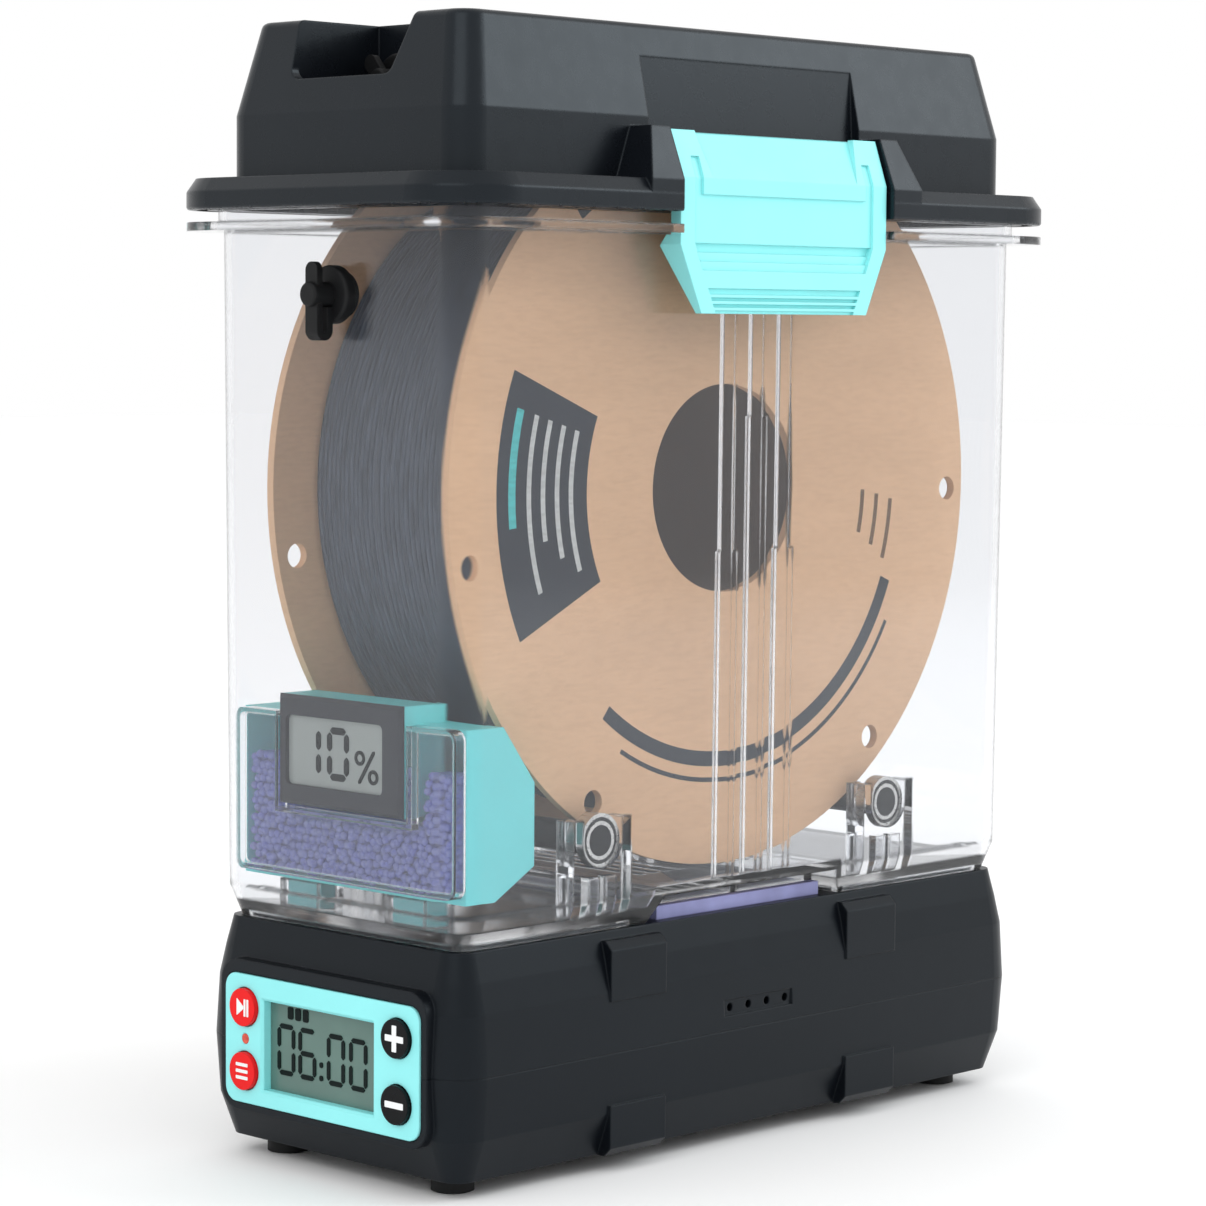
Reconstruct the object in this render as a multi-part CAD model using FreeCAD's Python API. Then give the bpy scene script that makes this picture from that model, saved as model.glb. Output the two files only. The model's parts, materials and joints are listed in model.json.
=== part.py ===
"""Filament dryer box: a clear spool box with a latched lid, standing on a heated dock.

Millimetres, +Z up. X is the short side, Y the long side, and the control panel faces -Y.
The origin is the centre of the footprint, on the surface that the feet stand on.
"""
import FreeCAD, Part
import math
import os

V = FreeCAD.Vector

# Spool in the box
SPOOL_DIAMETER = 200.0
SPOOL_WIDTH = 66.4
SPOOL_BORE = 55.0
FLANGE_BOARD = 2.4
CORE_BOARD = 3.0
SPOOL_HOLE_DIAMETER = 6.5
SPOOL_HOLE_EDGE = 6.5
SPOOL_HOLE_ANGLES = (-1.6, -49.3, -121.5, -169.2)
PACK_DEPTH = 13.0
FILAMENT = 1.75
WINDING_LOOPS = 14
WINDING_END_GAP = 1.2
WINDING_SEAT = 0.3

# Clear box
SPOOL_SIDE_ROOM = 11.95
SPOOL_END_ROOM = 6.35
SPOOL_FLOOR_ROOM = 1.8
FLANGE_OVER_AXIS = 66.0
BOX_WALL = 2.0
BOX_DRAFT = 0.95
BOX_CORNER = 8.7
SKIRT_HEIGHT = 8.0
SKIRT_INSET = 3.4
FLOOR_THICK = 2.4
FLOOR_LIFT = 2.2
TUNNEL_HEIGHT = 7.0
TUNNEL_HALF = 34.0
TUNNEL_SPLAY = 4.0
FLANGE_THICK = 2.2
LIP_PROUD = 1.5
LIP_THICK = 2.2
LIP_HEIGHT = 4.1
RIB_PITCH = 11.0
RIB_WIDTH = 4.6
RIB_STEP_WIDTH = 7.8
RIB_PROUD = 1.6
RIB_STEP_PROUD = 0.9
RIB_STEP_Z = 86.0
MIDDLE_STEP_Z = 121.0
VENT_SLOTS = 4
VENT_PITCH = 5.0
VENT_WIDTH = 2.4
VENT_LENGTH = 52.0
VENT_FIRST = 7.6

# Rollers and bearings
ROD_DIAMETER = 8.0
ROLLER_Y = 56.4
ROLLING_GAP = 0.3
BEARING_OUTER = 14.0
BEARING_WIDTH = 4.0
RACE_THICK = 1.0
SHIELD_THICK = 0.3
BEARING_FIT = 0.02
BEARING_WALL_GAP = 1.0
SADDLE_CLEARANCE = 0.1
POST_THICK = 3.2
POST_OVER_AXIS = 5.6
SADDLE_LIP = 1.3
SADDLE_SIDE_GAP = 0.3
SADDLE_WEB = 2.0

# Port with a tethered stopper, in the box front and in the lid pocket
PORT_DISC = 14.6
PORT_DISC_THICK = 3.0
PORT_DISC_EDGE = 1.0
PORT_NECK = 9.0
PORT_INNER_FLANGE = 11.6
PORT_INNER_THICK = 1.5
PORT_BORE = 4.0
STOPPER_PIN_CLEARANCE = 0.1
STOPPER_KNOB = 6.2
STOPPER_KNOB_EDGE = 0.8
STOPPER_REACH = 9.6
STOPPER_STRAP = 4.4
STOPPER_STRAP_THICK = 1.8
STOPPER_TAB_UP = 8.1
STOPPER_LOOP_DOWN = 11.0
STOPPER_LOOP_GAP = 1.6
FRONT_PORT_X = 1.5
FRONT_PORT_BELOW_FLANGE = 16.2

# Lid
RIM_OVERHANG = 10.1
RIM_CORNER = 20.0
RIM_GAP = 3.2
RIM_BAND = 4.5
RIM_CHAMFER_HEIGHT = 3.5
RIM_CHAMFER_INSET = 2.4
RIM_EDGE = 0.8
CROWN_INSET = 2.6
CROWN_CORNER = 7.7
CROWN_BAND = 16.1
CROWN_SLOPE_HEIGHT = 23.8
CROWN_SLOPE_INSET = 5.2
CROWN_TOP_CORNER = 6.5
CROWN_EDGE = 2.0
LID_WALL = 2.4
SEAL_SIDE_GAP = 0.3
SEAL_HEIGHT = 2.6
POCKET_LEFT = -21.0
POCKET_RIGHT = 16.0
POCKET_RIGHT_SPLAY = 6.0
POCKET_DEPTH = 27.0
POCKET_SILL_DEPTH = 15.2
POCKET_LENGTH = 27.0
POCKET_LIP = 2.4
POCKET_ROUND = 3.0
LID_PORT_X = -11.5
LID_PORT_BELOW_TOP = 14.7
LID_STOPPER_TURN = -40.0

# Latches
LATCH_HALF = 40.2
LATCH_SIDE_GAP = 0.9
LATCH_INSET = 2.05
LATCH_PLATE = 3.4
LATCH_BACK_GAP = 1.0
LATCH_BARREL = 3.6
LATCH_PIVOT_INSET = 8.05
LATCH_PIVOT_RISE = 6.6
LATCH_HEAD = 6.2
LATCH_HEAD_INSET = 6.25
LATCH_SHOULDER_RISE = 0.7
LATCH_DROP = 20.2
LATCH_TAPER = 7.9
LATCH_TAPER_DROP = 2.8
LATCH_FOOT = 2.0
HOOK_ENGAGE = 2.2
HOOK_GAP = 0.35
HOOK_RAMP = 2.85
FLANGE_NOTCH_MARGIN = 1.35
PANEL_BORDER = 5.4
PANEL_RECESS = 0.8
PANEL_STRIP_WIDTH = 3.0
PANEL_STRIP_RISE = 5.4
FINGER_STEPS = 3
FINGER_STEP_DROP = 2.4
FINGER_STEP_PITCH = 2.27
FINGER_STEP_DEPTH = 2.0
GRIP_ZONE = 6.4
GRIP_ZONE_DEPTH = 0.9
GRIP_RIBS = 3
GRIP_PITCH = 1.65
GRIP_HEIGHT = 0.8
SCOOP_LOW_HALF = 28.0
SCOOP_TOP_HALF = 31.0
SCOOP_DEPTH = 2.0
PIN_DIAMETER = 3.0
PIN_CLEARANCE = 0.06
PIN_IN_EAR = 5.0
EAR_BASE = 11.7
EAR_TOP = 6.9
EAR_TOP_INSET = 5.25
EAR_RISE = 6.8
BAY_FOOT_INSET = 1.95
BAY_HEAD_INSET = 3.55
CROWN_BAY_RISE = 15.3

# Dock
DOCK_SIDE_MARGIN = 1.55
DOCK_END_MARGIN = 2.4
DOCK_CORNER = 10.5
DOCK_WALL = 2.4
FOOT_HEIGHT = 4.5
FOOT_DIAMETER = 11.0
FOOT_SEAT = 1.0
FOOT_INSET_X = 17.5
FOOT_INSET_Y = 15.5
LOWER_SHELL_HEIGHT = 26.8
UPPER_SHELL_HEIGHT = 30.7
LOWER_CHAMFER_HEIGHT = 11.0
LOWER_CHAMFER_INSET = 5.0
LOWER_BAND_INSET = 1.1
UPPER_BAND_RISE = 15.4
UPPER_BAND_INSET = 0.9
UPPER_BREAK_RISE = 23.1
UPPER_BREAK_INSET = 2.6
DECK_INSET = 4.6
SEAM_LIP_HEIGHT = 3.0
SEAM_LIP_THICK = 1.2
SEAM_CLEARANCE = 0.15
LOCATOR_HEIGHT = 1.7
LOCATOR_CLEARANCE = 0.6
LOCATOR_RIM = 4.0
TAB_Y = 46.0
TAB_WIDTH = 20.5
TAB_PROUD_INSET = 0.3
TAB_TOP_CHAMFER = 2.2
SIDE_VENTS = 4
SIDE_VENT_PITCH = 7.27
SIDE_VENT_DIAMETER = 2.2
SIDE_VENT_RISE = 6.0
SIDE_RECESS_DEPTH = 0.4
SIDE_RECESS_HEIGHT = 4.2
SCREW_DIAMETER = 3.0
SCREW_HEAD = 5.6
SCREW_HEAD_THICK = 2.0
SCREW_BITE = 14.0
SCREW_FIT = 0.05
SCREW_BOSS = 9.0
SCREW_X = 33.0
SCREW_Y = 84.0

# Control panel
PANEL_X = 0.9
PANEL_RISE = 0.7
PANEL_WIDTH = 73.4
PANEL_HEIGHT = 33.5
PANEL_CORNER = 4.0
PANEL_BOSS_MARGIN = 2.2
PANEL_BOSS_TOP = 1.4
PANEL_BOSS_PROUD = 1.6
PANEL_THICK = 3.0
PANEL_PROUD = 0.4
PANEL_FIT = 0.2
PANEL_SEAT = 1.2
LCD_LEFT_GAP = 1.7
LCD_RIGHT_GAP = 4.5
LCD_WINDOW_HEIGHT = 23.2
LCD_DROP = 0.9
LCD_MARGIN = 0.6
LCD_GLASS = 2.2
LCD_FRAME = 3.0
WINDOW_CHAMFER = 0.7
BUTTON_DIAMETER = 9.8
BUTTON_EDGE = 7.8
BUTTON_RISE = 8.3
BUTTON_CLEARANCE = 0.25
BUTTON_PROUD = 1.2
BUTTON_TRAVEL = 1.0
BUTTON_COLLAR = 0.7
BUTTON_COLLAR_THICK = 1.0
BUTTON_SEAT_GAP = 0.3
BUTTON_STEM = 4.0
SWITCH_SIZE = 6.0
SWITCH_HEIGHT = 2.4
LIGHT_PIPE = 2.6
BOARD_THICK = 1.6
BOARD_DEPTH = 10.0
BOARD_MARGIN = 3.0
BOARD_SLOT_DEPTH = 1.5
BOARD_SLOT_FIT = 0.1

# Heater, blower and inlet inside the dock
DUCT_WALL = 1.6
DUCT_HALF_X = 30.0
DUCT_LENGTH = 32.0
DUCT_START = 3.0
DUCT_BASE_RISE = 20.0
HEATER_THICK = 12.0
HEATER_FINS = 14
HEATER_FIN_THICK = 1.0
HEATER_SIDE_GAP = 0.4
BLOWER_SIZE = 51.0
BLOWER_HEIGHT = 15.0
BLOWER_WALL = 1.6
BLOWER_INTAKE = 30.0
BLOWER_OUTLET = 20.0
ROTOR_DIAMETER = 38.0
ROTOR_BLADES = 12
ROTOR_BLADE_THICK = 0.9
ROTOR_BLADE_DEPTH = 6.0
ROTOR_HUB = 14.0
ROTOR_GAP = 1.0
SHAFT_DIAMETER = 3.0
SHAFT_CLEARANCE = 0.05
SUPPORT_POST = 6.0
JACK_X = 26.0
JACK_RISE = 14.0
JACK_BODY = 11.0
JACK_LENGTH = 14.0
JACK_BORE = 5.6
JACK_COLLAR = 1.5
JACK_FIT = 0.1
SEAL_HALF_X = 41.0
SEAL_WALL = 4.5
SEAL_RISE = 3.6
VENT_RIM_GAP = 0.3
VENT_RIM_WALL = 2.0
SEAL_END_GAP = 2.0

# Desiccant container
CONTAINER_HALF = 41.0
CONTAINER_WALL = 1.6
CONTAINER_LIFT = 6.5
CONTAINER_HEIGHT = 43.5
CONTAINER_DEPTH = 22.8
CONTAINER_LOW_CHAMFER_Y = 13.6
CONTAINER_LOW_CHAMFER_Z = 7.8
CONTAINER_TOP_CHAMFER_Y = 10.9
CONTAINER_TOP_CHAMFER_Z = 14.6
COVER_WALL_GAP = 1.0
COVER_DEPTH = 3.7
COVER_WALL = 1.3
COVER_BOTTOM_RISE = 1.5
COVER_CORNER = 3.0
COVER_SEAT_GAP = 0.1
COVER_NOTCH_GAP = 1.2
BEAD_CLEARANCE = 0.3
BEAD_LEVEL = 10.6
METER_WIDTH = 46.6
METER_HEIGHT = 28.2
METER_DEPTH = 12.0
METER_WALL = 1.5
METER_EDGE = 1.0
METER_BEZEL = 1.3
METER_BEZEL_THICK = 1.1
METER_FIT = 0.2
METER_BOTTOM_RISE = 20.1
METER_FRONT_GAP = 0.4
METER_HOUSING_WALL = 1.0
METER_WINDOW_WIDTH = 36.5
METER_WINDOW_HEIGHT = 17.8
METER_WINDOW_SHIFT = -1.9
METER_WINDOW_DEPTH = 1.2
METER_LCD_MARGIN = 0.6
METER_LCD_THICK = 1.4
METER_BOARD_GAP = 0.2
CELL_DIAMETER = 11.6
CELL_THICK = 5.4
CELL_X = 13.0
LEG_X = 20.0
LEG_WIDTH = 11.0
LEG_DEPTH = 5.0
LEG_SETBACK = 2.0
SOCKET_WALL = 1.6
SOCKET_CLEARANCE = 0.3

# Places that follow from the sizes above
SPOOL_R = SPOOL_DIAMETER / 2
LOWER_Z = FOOT_HEIGHT
SEAM_Z = LOWER_Z + LOWER_SHELL_HEIGHT
DECK_Z = SEAM_Z + UPPER_SHELL_HEIGHT
FLOOR_Z = DECK_Z + FLOOR_LIFT + FLOOR_THICK
TUNNEL_Z = DECK_Z + TUNNEL_HEIGHT
PLATEAU_Z = TUNNEL_Z + FLOOR_THICK
AXIS_Z = PLATEAU_Z + SPOOL_FLOOR_ROOM + SPOOL_R
FLANGE_Z = AXIS_Z + FLANGE_OVER_AXIS
FLANGE_TOP = FLANGE_Z + FLANGE_THICK
BOX_X = SPOOL_WIDTH / 2 + SPOOL_SIDE_ROOM + BOX_WALL
BOX_Y = SPOOL_R + SPOOL_END_ROOM + BOX_WALL
BASE_X = BOX_X - BOX_DRAFT
BASE_Y = BOX_Y - BOX_DRAFT
SKIRT_Z = DECK_Z + SKIRT_HEIGHT
DOCK_X = BOX_X + DOCK_SIDE_MARGIN
DOCK_Y = BOX_Y + DOCK_END_MARGIN
FRONT_Y = -DOCK_Y
RIM_X = BOX_X + RIM_OVERHANG
RIM_Y = BOX_Y + RIM_OVERHANG
RIM_Z = FLANGE_TOP + RIM_GAP
RIM_TOP = RIM_Z + RIM_BAND + RIM_CHAMFER_HEIGHT
CROWN_X = BOX_X - CROWN_INSET
CROWN_Y = BOX_Y - CROWN_INSET
CROWN_BREAK = RIM_TOP + CROWN_BAND
TOP_Z = CROWN_BREAK + CROWN_SLOPE_HEIGHT
LIP_X = BOX_X + LIP_PROUD
LIP_Y = BOX_Y + LIP_PROUD
LIP_CORNER = BOX_CORNER + LIP_PROUD
LIP_TOP = FLANGE_TOP + LIP_HEIGHT
ROD_R = ROD_DIAMETER / 2
ROLLER_REACH = SPOOL_R + ROD_R + ROLLING_GAP
ROLLER_Z = AXIS_Z - math.sqrt(ROLLER_REACH ** 2 - ROLLER_Y ** 2)
BAY_HALF = LATCH_HALF + LATCH_SIDE_GAP
PIVOT_X = RIM_X - LATCH_PIVOT_INSET
PIVOT_Z = RIM_TOP + LATCH_PIVOT_RISE
NOTCH_X = LIP_X + FLANGE_NOTCH_MARGIN
PANEL_Z = SEAM_Z + PANEL_RISE
BUTTON_X = PANEL_WIDTH / 2 - BUTTON_EDGE
LCD_LEFT = PANEL_X - BUTTON_X + BUTTON_DIAMETER / 2 + LCD_LEFT_GAP
LCD_RIGHT = PANEL_X + BUTTON_X - BUTTON_DIAMETER / 2 - LCD_RIGHT_GAP
LCD_X = (LCD_LEFT + LCD_RIGHT) / 2
LCD_WINDOW_WIDTH = LCD_RIGHT - LCD_LEFT
LCD_Z = PANEL_Z - LCD_DROP
PANEL_FRONT = FRONT_Y - PANEL_BOSS_PROUD - PANEL_PROUD
PANEL_BACK = PANEL_FRONT + PANEL_THICK
BOARD_Y = FRONT_Y + BOARD_DEPTH
SHELL_FLOOR = LOWER_Z + DOCK_WALL


def wall_inset(z):
    """How far the box's outer wall stands inside its size at the flange, at height z."""
    return BOX_DRAFT * (FLANGE_Z - z) / (FLANGE_Z - SKIRT_Z)


def block(x0, x1, y0, y1, z0, z1):
    return Part.makeBox(x1 - x0, y1 - y0, z1 - z0, V(x0, y0, z0))


def rod(radius, start, end):
    way = end - start
    return Part.makeCylinder(radius, way.Length, start, way)


def rounded_wire(half_x, half_y, radius, z):
    """A rectangle with round corners in the plane at height z."""
    edges = []
    corners = ((1, -1, -90), (1, 1, 0), (-1, 1, 90), (-1, -1, 180))
    arcs = []
    for side_x, side_y, start in corners:
        cx = side_x * (half_x - radius)
        cy = side_y * (half_y - radius)
        points = []
        for turn in (0, 45, 90):
            angle = math.radians(start + turn)
            points.append(V(cx + radius * math.cos(angle), cy + radius * math.sin(angle), z))
        arcs.append(points)
    for index, points in enumerate(arcs):
        following = arcs[(index + 1) % 4]
        edges.append(Part.Arc(*points).toShape())
        edges.append(Part.LineSegment(points[2], following[0]).toShape())
    return Part.Wire(edges)


def tapered(levels):
    """A solid through rounded rectangles, given as (z, half_x, half_y, corner radius)."""
    wires = [rounded_wire(half_x, half_y, radius, z) for z, half_x, half_y, radius in levels]
    return Part.makeLoft(wires, True, True)


def rounded_block(half_x, half_y, radius, z0, z1):
    return tapered([(z0, half_x, half_y, radius), (z1, half_x, half_y, radius)])


def front_plate(half_x, half_z, radius, x, z, y0, y1):
    """A round-cornered plate that faces -Y, from y0 to y1."""
    plate = rounded_block(half_x, half_z, radius, -y1, -y0)
    plate.rotate(V(0, 0, 0), V(1, 0, 0), 90)
    plate.translate(V(x, 0, z))
    return plate


def prism(points, way):
    face = Part.Face(Part.makePolygon(points + [points[0]]))
    return face.extrude(way)


def prism_x(points, x0, x1):
    return prism([V(x0, y, z) for y, z in points], V(x1 - x0, 0, 0))


def prism_y(points, y0, y1):
    return prism([V(x, y0, z) for x, z in points], V(0, y1 - y0, 0))


def fuse(shapes):
    return shapes[0].multiFuse(shapes[1:]).removeSplitter() if len(shapes) > 1 else shapes[0]


def mirror_x(shape):
    return shape.mirror(V(0, 0, 0), V(1, 0, 0))


def group(shapes):
    return Part.makeCompound(shapes)


def dock_levels(pairs, inset):
    levels = []
    for z, band in pairs:
        levels.append((z, DOCK_X - band - inset, DOCK_Y - band - inset, DOCK_CORNER - band - inset))
    return levels


def boss_plate(margin, y0, y1):
    """The raised black frame round the panel, or what lies within it."""
    half_z = (PANEL_HEIGHT + PANEL_BOSS_TOP) / 2 + margin
    rise = PANEL_BOSS_TOP / 2
    return front_plate(PANEL_WIDTH / 2 + margin, half_z, PANEL_CORNER + margin, PANEL_X, PANEL_Z + rise,
                       y0, y1)


def panel_cuts():
    """The recess that seats the bezel, and the opening behind it."""
    seat = front_plate(PANEL_WIDTH / 2 + PANEL_FIT, PANEL_HEIGHT / 2 + PANEL_FIT, PANEL_CORNER,
                       PANEL_X, PANEL_Z, PANEL_FRONT - PANEL_THICK, PANEL_BACK)
    opening = front_plate(PANEL_WIDTH / 2 - PANEL_SEAT, PANEL_HEIGHT / 2 - PANEL_SEAT, PANEL_CORNER / 2,
                          PANEL_X, PANEL_Z, PANEL_FRONT, FRONT_Y + BOARD_DEPTH / 2)
    return [seat, opening]


def screw_places():
    return [V(x, y, 0) for x in (-SCREW_X, SCREW_X) for y in (-SCREW_Y, SCREW_Y)]


def tabs(profile):
    """Two blocks on each long side, along Y at plus and minus TAB_Y."""
    made = []
    for y in (-TAB_Y, TAB_Y):
        tab = prism_y(profile, y - TAB_WIDTH / 2, y + TAB_WIDTH / 2)
        made += [tab, mirror_x(tab)]
    return made


def dock_lower():
    bands = [(LOWER_Z, LOWER_CHAMFER_INSET), (LOWER_Z + LOWER_CHAMFER_HEIGHT, LOWER_BAND_INSET), (SEAM_Z, 0)]
    inside = [(SHELL_FLOOR, LOWER_CHAMFER_INSET)] + bands[1:]
    face = DOCK_X - TAB_PROUD_INSET
    deep = DOCK_X - LOWER_CHAMFER_INSET - DOCK_WALL / 2
    band_z = LOWER_Z + LOWER_CHAMFER_HEIGHT
    low = LOWER_Z + TAB_TOP_CHAMFER
    tab = [(deep, LOWER_Z), (face - TAB_TOP_CHAMFER, LOWER_Z), (face, low), (face, band_z + TAB_TOP_CHAMFER),
           (deep, band_z + TAB_TOP_CHAMFER)]
    shell = fuse([tapered(dock_levels(bands, 0))] + tabs(tab))
    boss = boss_plate(PANEL_BOSS_MARGIN, FRONT_Y - PANEL_BOSS_PROUD, FRONT_Y + DOCK_WALL)
    boss = boss.common(block(-DOCK_X, DOCK_X, -2 * DOCK_Y, 0, 0, SEAM_Z))
    shell = shell.fuse(boss).cut(tapered(dock_levels(inside, DOCK_WALL)))
    posts = []
    for place in screw_places():
        posts.append(rod(SCREW_BOSS / 2, place + V(0, 0, LOWER_Z), place + V(0, 0, SEAM_Z)))
    for x, y, top in support_places():
        posts.append(rod(SUPPORT_POST / 2, V(x, y, LOWER_Z), V(x, y, top)))
    posts += board_slots()
    shell = shell.multiFuse(posts)
    cuts = panel_cuts()
    for place in screw_places():
        cuts.append(rod(SCREW_DIAMETER / 2 + SCREW_FIT, place, place + V(0, 0, SEAM_Z + 1)))
        head_top = LOWER_Z + DOCK_WALL + SCREW_HEAD_THICK
        cuts.append(rod(SCREW_HEAD / 2 + SCREW_FIT, place, place + V(0, 0, head_top)))
    for place in foot_places():
        cuts.append(rod(FOOT_DIAMETER / 2, place, place + V(0, 0, LOWER_Z + FOOT_SEAT)))
    jack = V(JACK_X, DOCK_Y, LOWER_Z + JACK_RISE)
    reach = V(0, LOWER_CHAMFER_INSET + DOCK_WALL, 0)
    cuts.append(rod(JACK_BODY / 2 + JACK_FIT, jack - reach, jack + reach))
    return shell.cut(cuts)


def board_slots():
    """Two grooved posts that hold the lower corners of the control board."""
    posts = []
    edge = PANEL_WIDTH / 2 - BOARD_MARGIN
    for side in (-1, 1):
        x0, x1 = sorted((PANEL_X + side * (edge - BOARD_SLOT_DEPTH), PANEL_X + side * (edge + DOCK_WALL)))
        post = block(x0, x1, BOARD_Y - DOCK_WALL, BOARD_Y + BOARD_THICK + DOCK_WALL, LOWER_Z, SEAM_Z)
        x0, x1 = sorted((PANEL_X, PANEL_X + side * (edge + BOARD_SLOT_FIT)))
        groove = block(x0, x1, BOARD_Y - BOARD_SLOT_FIT, BOARD_Y + BOARD_THICK + BOARD_SLOT_FIT,
                       board_bottom() - BOARD_SLOT_FIT, DECK_Z)
        posts.append(post.cut(groove))
    return posts


def board_bottom():
    return PANEL_Z - PANEL_HEIGHT / 2 + BOARD_MARGIN


def foot_places():
    return [V(x, y, 0) for x in (FOOT_INSET_X - DOCK_X, DOCK_X - FOOT_INSET_X)
            for y in (FOOT_INSET_Y - DOCK_Y, DOCK_Y - FOOT_INSET_Y)]


def support_places():
    """Posts under the blower's corners and the heater duct, as (x, y, top)."""
    reach = BLOWER_SIZE / 2 - SUPPORT_POST / 2
    middle = blower_y()
    places = [(x, middle + y, blower_z()) for x in (-reach, reach) for y in (-reach, reach)]
    side = DUCT_HALF_X - SUPPORT_POST / 2
    places += [(x, DUCT_START + DUCT_LENGTH / 2, duct_z()) for x in (-side, side)]
    return places


def duct_z():
    return SHELL_FLOOR + DUCT_BASE_RISE


def blower_z():
    return duct_z() + DUCT_WALL


def blower_y():
    return DUCT_START + DUCT_LENGTH + BLOWER_SIZE / 2


def dock_upper():
    bands = [(SEAM_Z, 0), (SEAM_Z + UPPER_BAND_RISE, UPPER_BAND_INSET),
             (SEAM_Z + UPPER_BREAK_RISE, UPPER_BREAK_INSET), (DECK_Z, DECK_INSET)]
    inside = bands[:3] + [(DECK_Z - DOCK_WALL, DECK_INSET)]
    face = DOCK_X - TAB_PROUD_INSET
    deep = DOCK_X - DECK_INSET - DOCK_WALL / 2
    top = DECK_Z - TAB_TOP_CHAMFER
    foot = SEAM_Z + UPPER_BAND_RISE - TAB_TOP_CHAMFER
    tab = [(deep, foot), (face, foot), (face, top - TAB_TOP_CHAMFER), (face - TAB_TOP_CHAMFER, top),
           (deep, top)]
    shell = fuse([tapered(dock_levels(bands, 0))] + tabs(tab))
    boss = boss_plate(PANEL_BOSS_MARGIN, FRONT_Y - PANEL_BOSS_PROUD,
                      FRONT_Y + UPPER_BREAK_INSET + DOCK_WALL / 2)
    boss = boss.common(block(-DOCK_X, DOCK_X, -2 * DOCK_Y, 0, SEAM_Z, 2 * DECK_Z))
    shell = shell.fuse(boss).cut(tapered(dock_levels(inside, DOCK_WALL)))
    lip_in = DOCK_WALL + SEAM_CLEARANCE
    lean = LOWER_BAND_INSET * SEAM_LIP_HEIGHT / (LOWER_SHELL_HEIGHT - LOWER_CHAMFER_HEIGHT)
    lip_z = [(SEAM_Z - SEAM_LIP_HEIGHT, lean), (SEAM_Z, 0), (SEAM_Z + DOCK_WALL, 0)]
    lip = tapered(dock_levels(lip_z, lip_in)).cut(tapered(dock_levels(lip_z, lip_in + SEAM_LIP_THICK)))
    joint = [(SEAM_Z, 0), (SEAM_Z + DOCK_WALL, 0)]
    shelf = tapered(dock_levels(joint, DOCK_WALL / 2))
    shelf = shelf.cut(tapered(dock_levels(joint, lip_in + SEAM_LIP_THICK)))
    room_half = PANEL_WIDTH / 2 + DOCK_WALL
    panel_room = block(PANEL_X - room_half, PANEL_X + room_half, 2 * FRONT_Y,
                       BOARD_Y + BOARD_THICK + 2 * DOCK_WALL, 0, SEAM_Z + DOCK_WALL)
    adds = [lip.fuse(shelf).cut(panel_room)]
    for place in screw_places():
        adds.append(rod(SCREW_BOSS / 2, place + V(0, 0, SEAM_Z), place + V(0, 0, DECK_Z - DOCK_WALL / 2)))
    for low, high in locator_ends():
        side = locator_half_x() - LOCATOR_CLEARANCE
        adds.append(block(-side, side, low + LOCATOR_CLEARANCE, high - LOCATOR_CLEARANCE,
                          DECK_Z - DOCK_WALL / 2, DECK_Z + LOCATOR_HEIGHT))
    shell = shell.multiFuse(adds)
    cuts = panel_cuts()
    for place in screw_places():
        tip = SEAM_Z + SCREW_BITE + SCREW_FIT
        cuts.append(rod(SCREW_DIAMETER / 2 + SCREW_FIT, place + V(0, 0, SEAM_Z - 1), place + V(0, 0, tip)))
    for low, high in deck_openings():
        half = DUCT_HALF_X - DUCT_WALL
        cuts.append(block(-half, half, low, high, DECK_Z - 2 * DOCK_WALL, DECK_Z + DOCK_WALL))
    return shell.cut(cuts).cut(side_vents())


def side_vents():
    """A shallow recess on each long side with a row of small round holes."""
    z = SEAM_Z + SIDE_VENT_RISE
    half = SIDE_VENTS * SIDE_VENT_PITCH / 2 - SIDE_VENT_DIAMETER / 2
    cuts = [block(DOCK_X - SIDE_RECESS_DEPTH - UPPER_BAND_INSET / 2, 2 * DOCK_X, -half, half,
                  z - SIDE_RECESS_HEIGHT / 2, z + SIDE_RECESS_HEIGHT / 2)]
    for index in range(SIDE_VENTS):
        y = (index - (SIDE_VENTS - 1) / 2) * SIDE_VENT_PITCH
        cuts.append(rod(SIDE_VENT_DIAMETER / 2, V(DOCK_X - 2 * DOCK_WALL, y, z), V(2 * DOCK_X, y, z)))
    return cuts + [mirror_x(cut) for cut in cuts]


def locator_half_x():
    return BASE_X - SKIRT_INSET - LOCATOR_RIM


def locator_ends():
    """The two hollows under the box floor, as ranges of Y."""
    near = TUNNEL_HALF + TUNNEL_SPLAY + LOCATOR_RIM
    far = BASE_Y - SKIRT_INSET - LOCATOR_RIM
    return ((-far, -near), (near, far))


def deck_openings():
    """Return and supply air openings in the deck, as ranges of Y."""
    near = SEAL_WALL / 2
    far = TUNNEL_HALF - SEAL_END_GAP - SEAL_WALL
    return ((-far, -near), (near, far))


def duct_seal():
    half_y = TUNNEL_HALF - SEAL_END_GAP
    top = DECK_Z + SEAL_RISE
    ring = block(-SEAL_HALF_X, SEAL_HALF_X, -half_y, half_y, DECK_Z, top)
    inner = SEAL_HALF_X - SEAL_WALL
    holes = [block(-inner, inner, low, high, DECK_Z, top) for low, high in deck_openings()]
    return ring.cut(holes)


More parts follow.
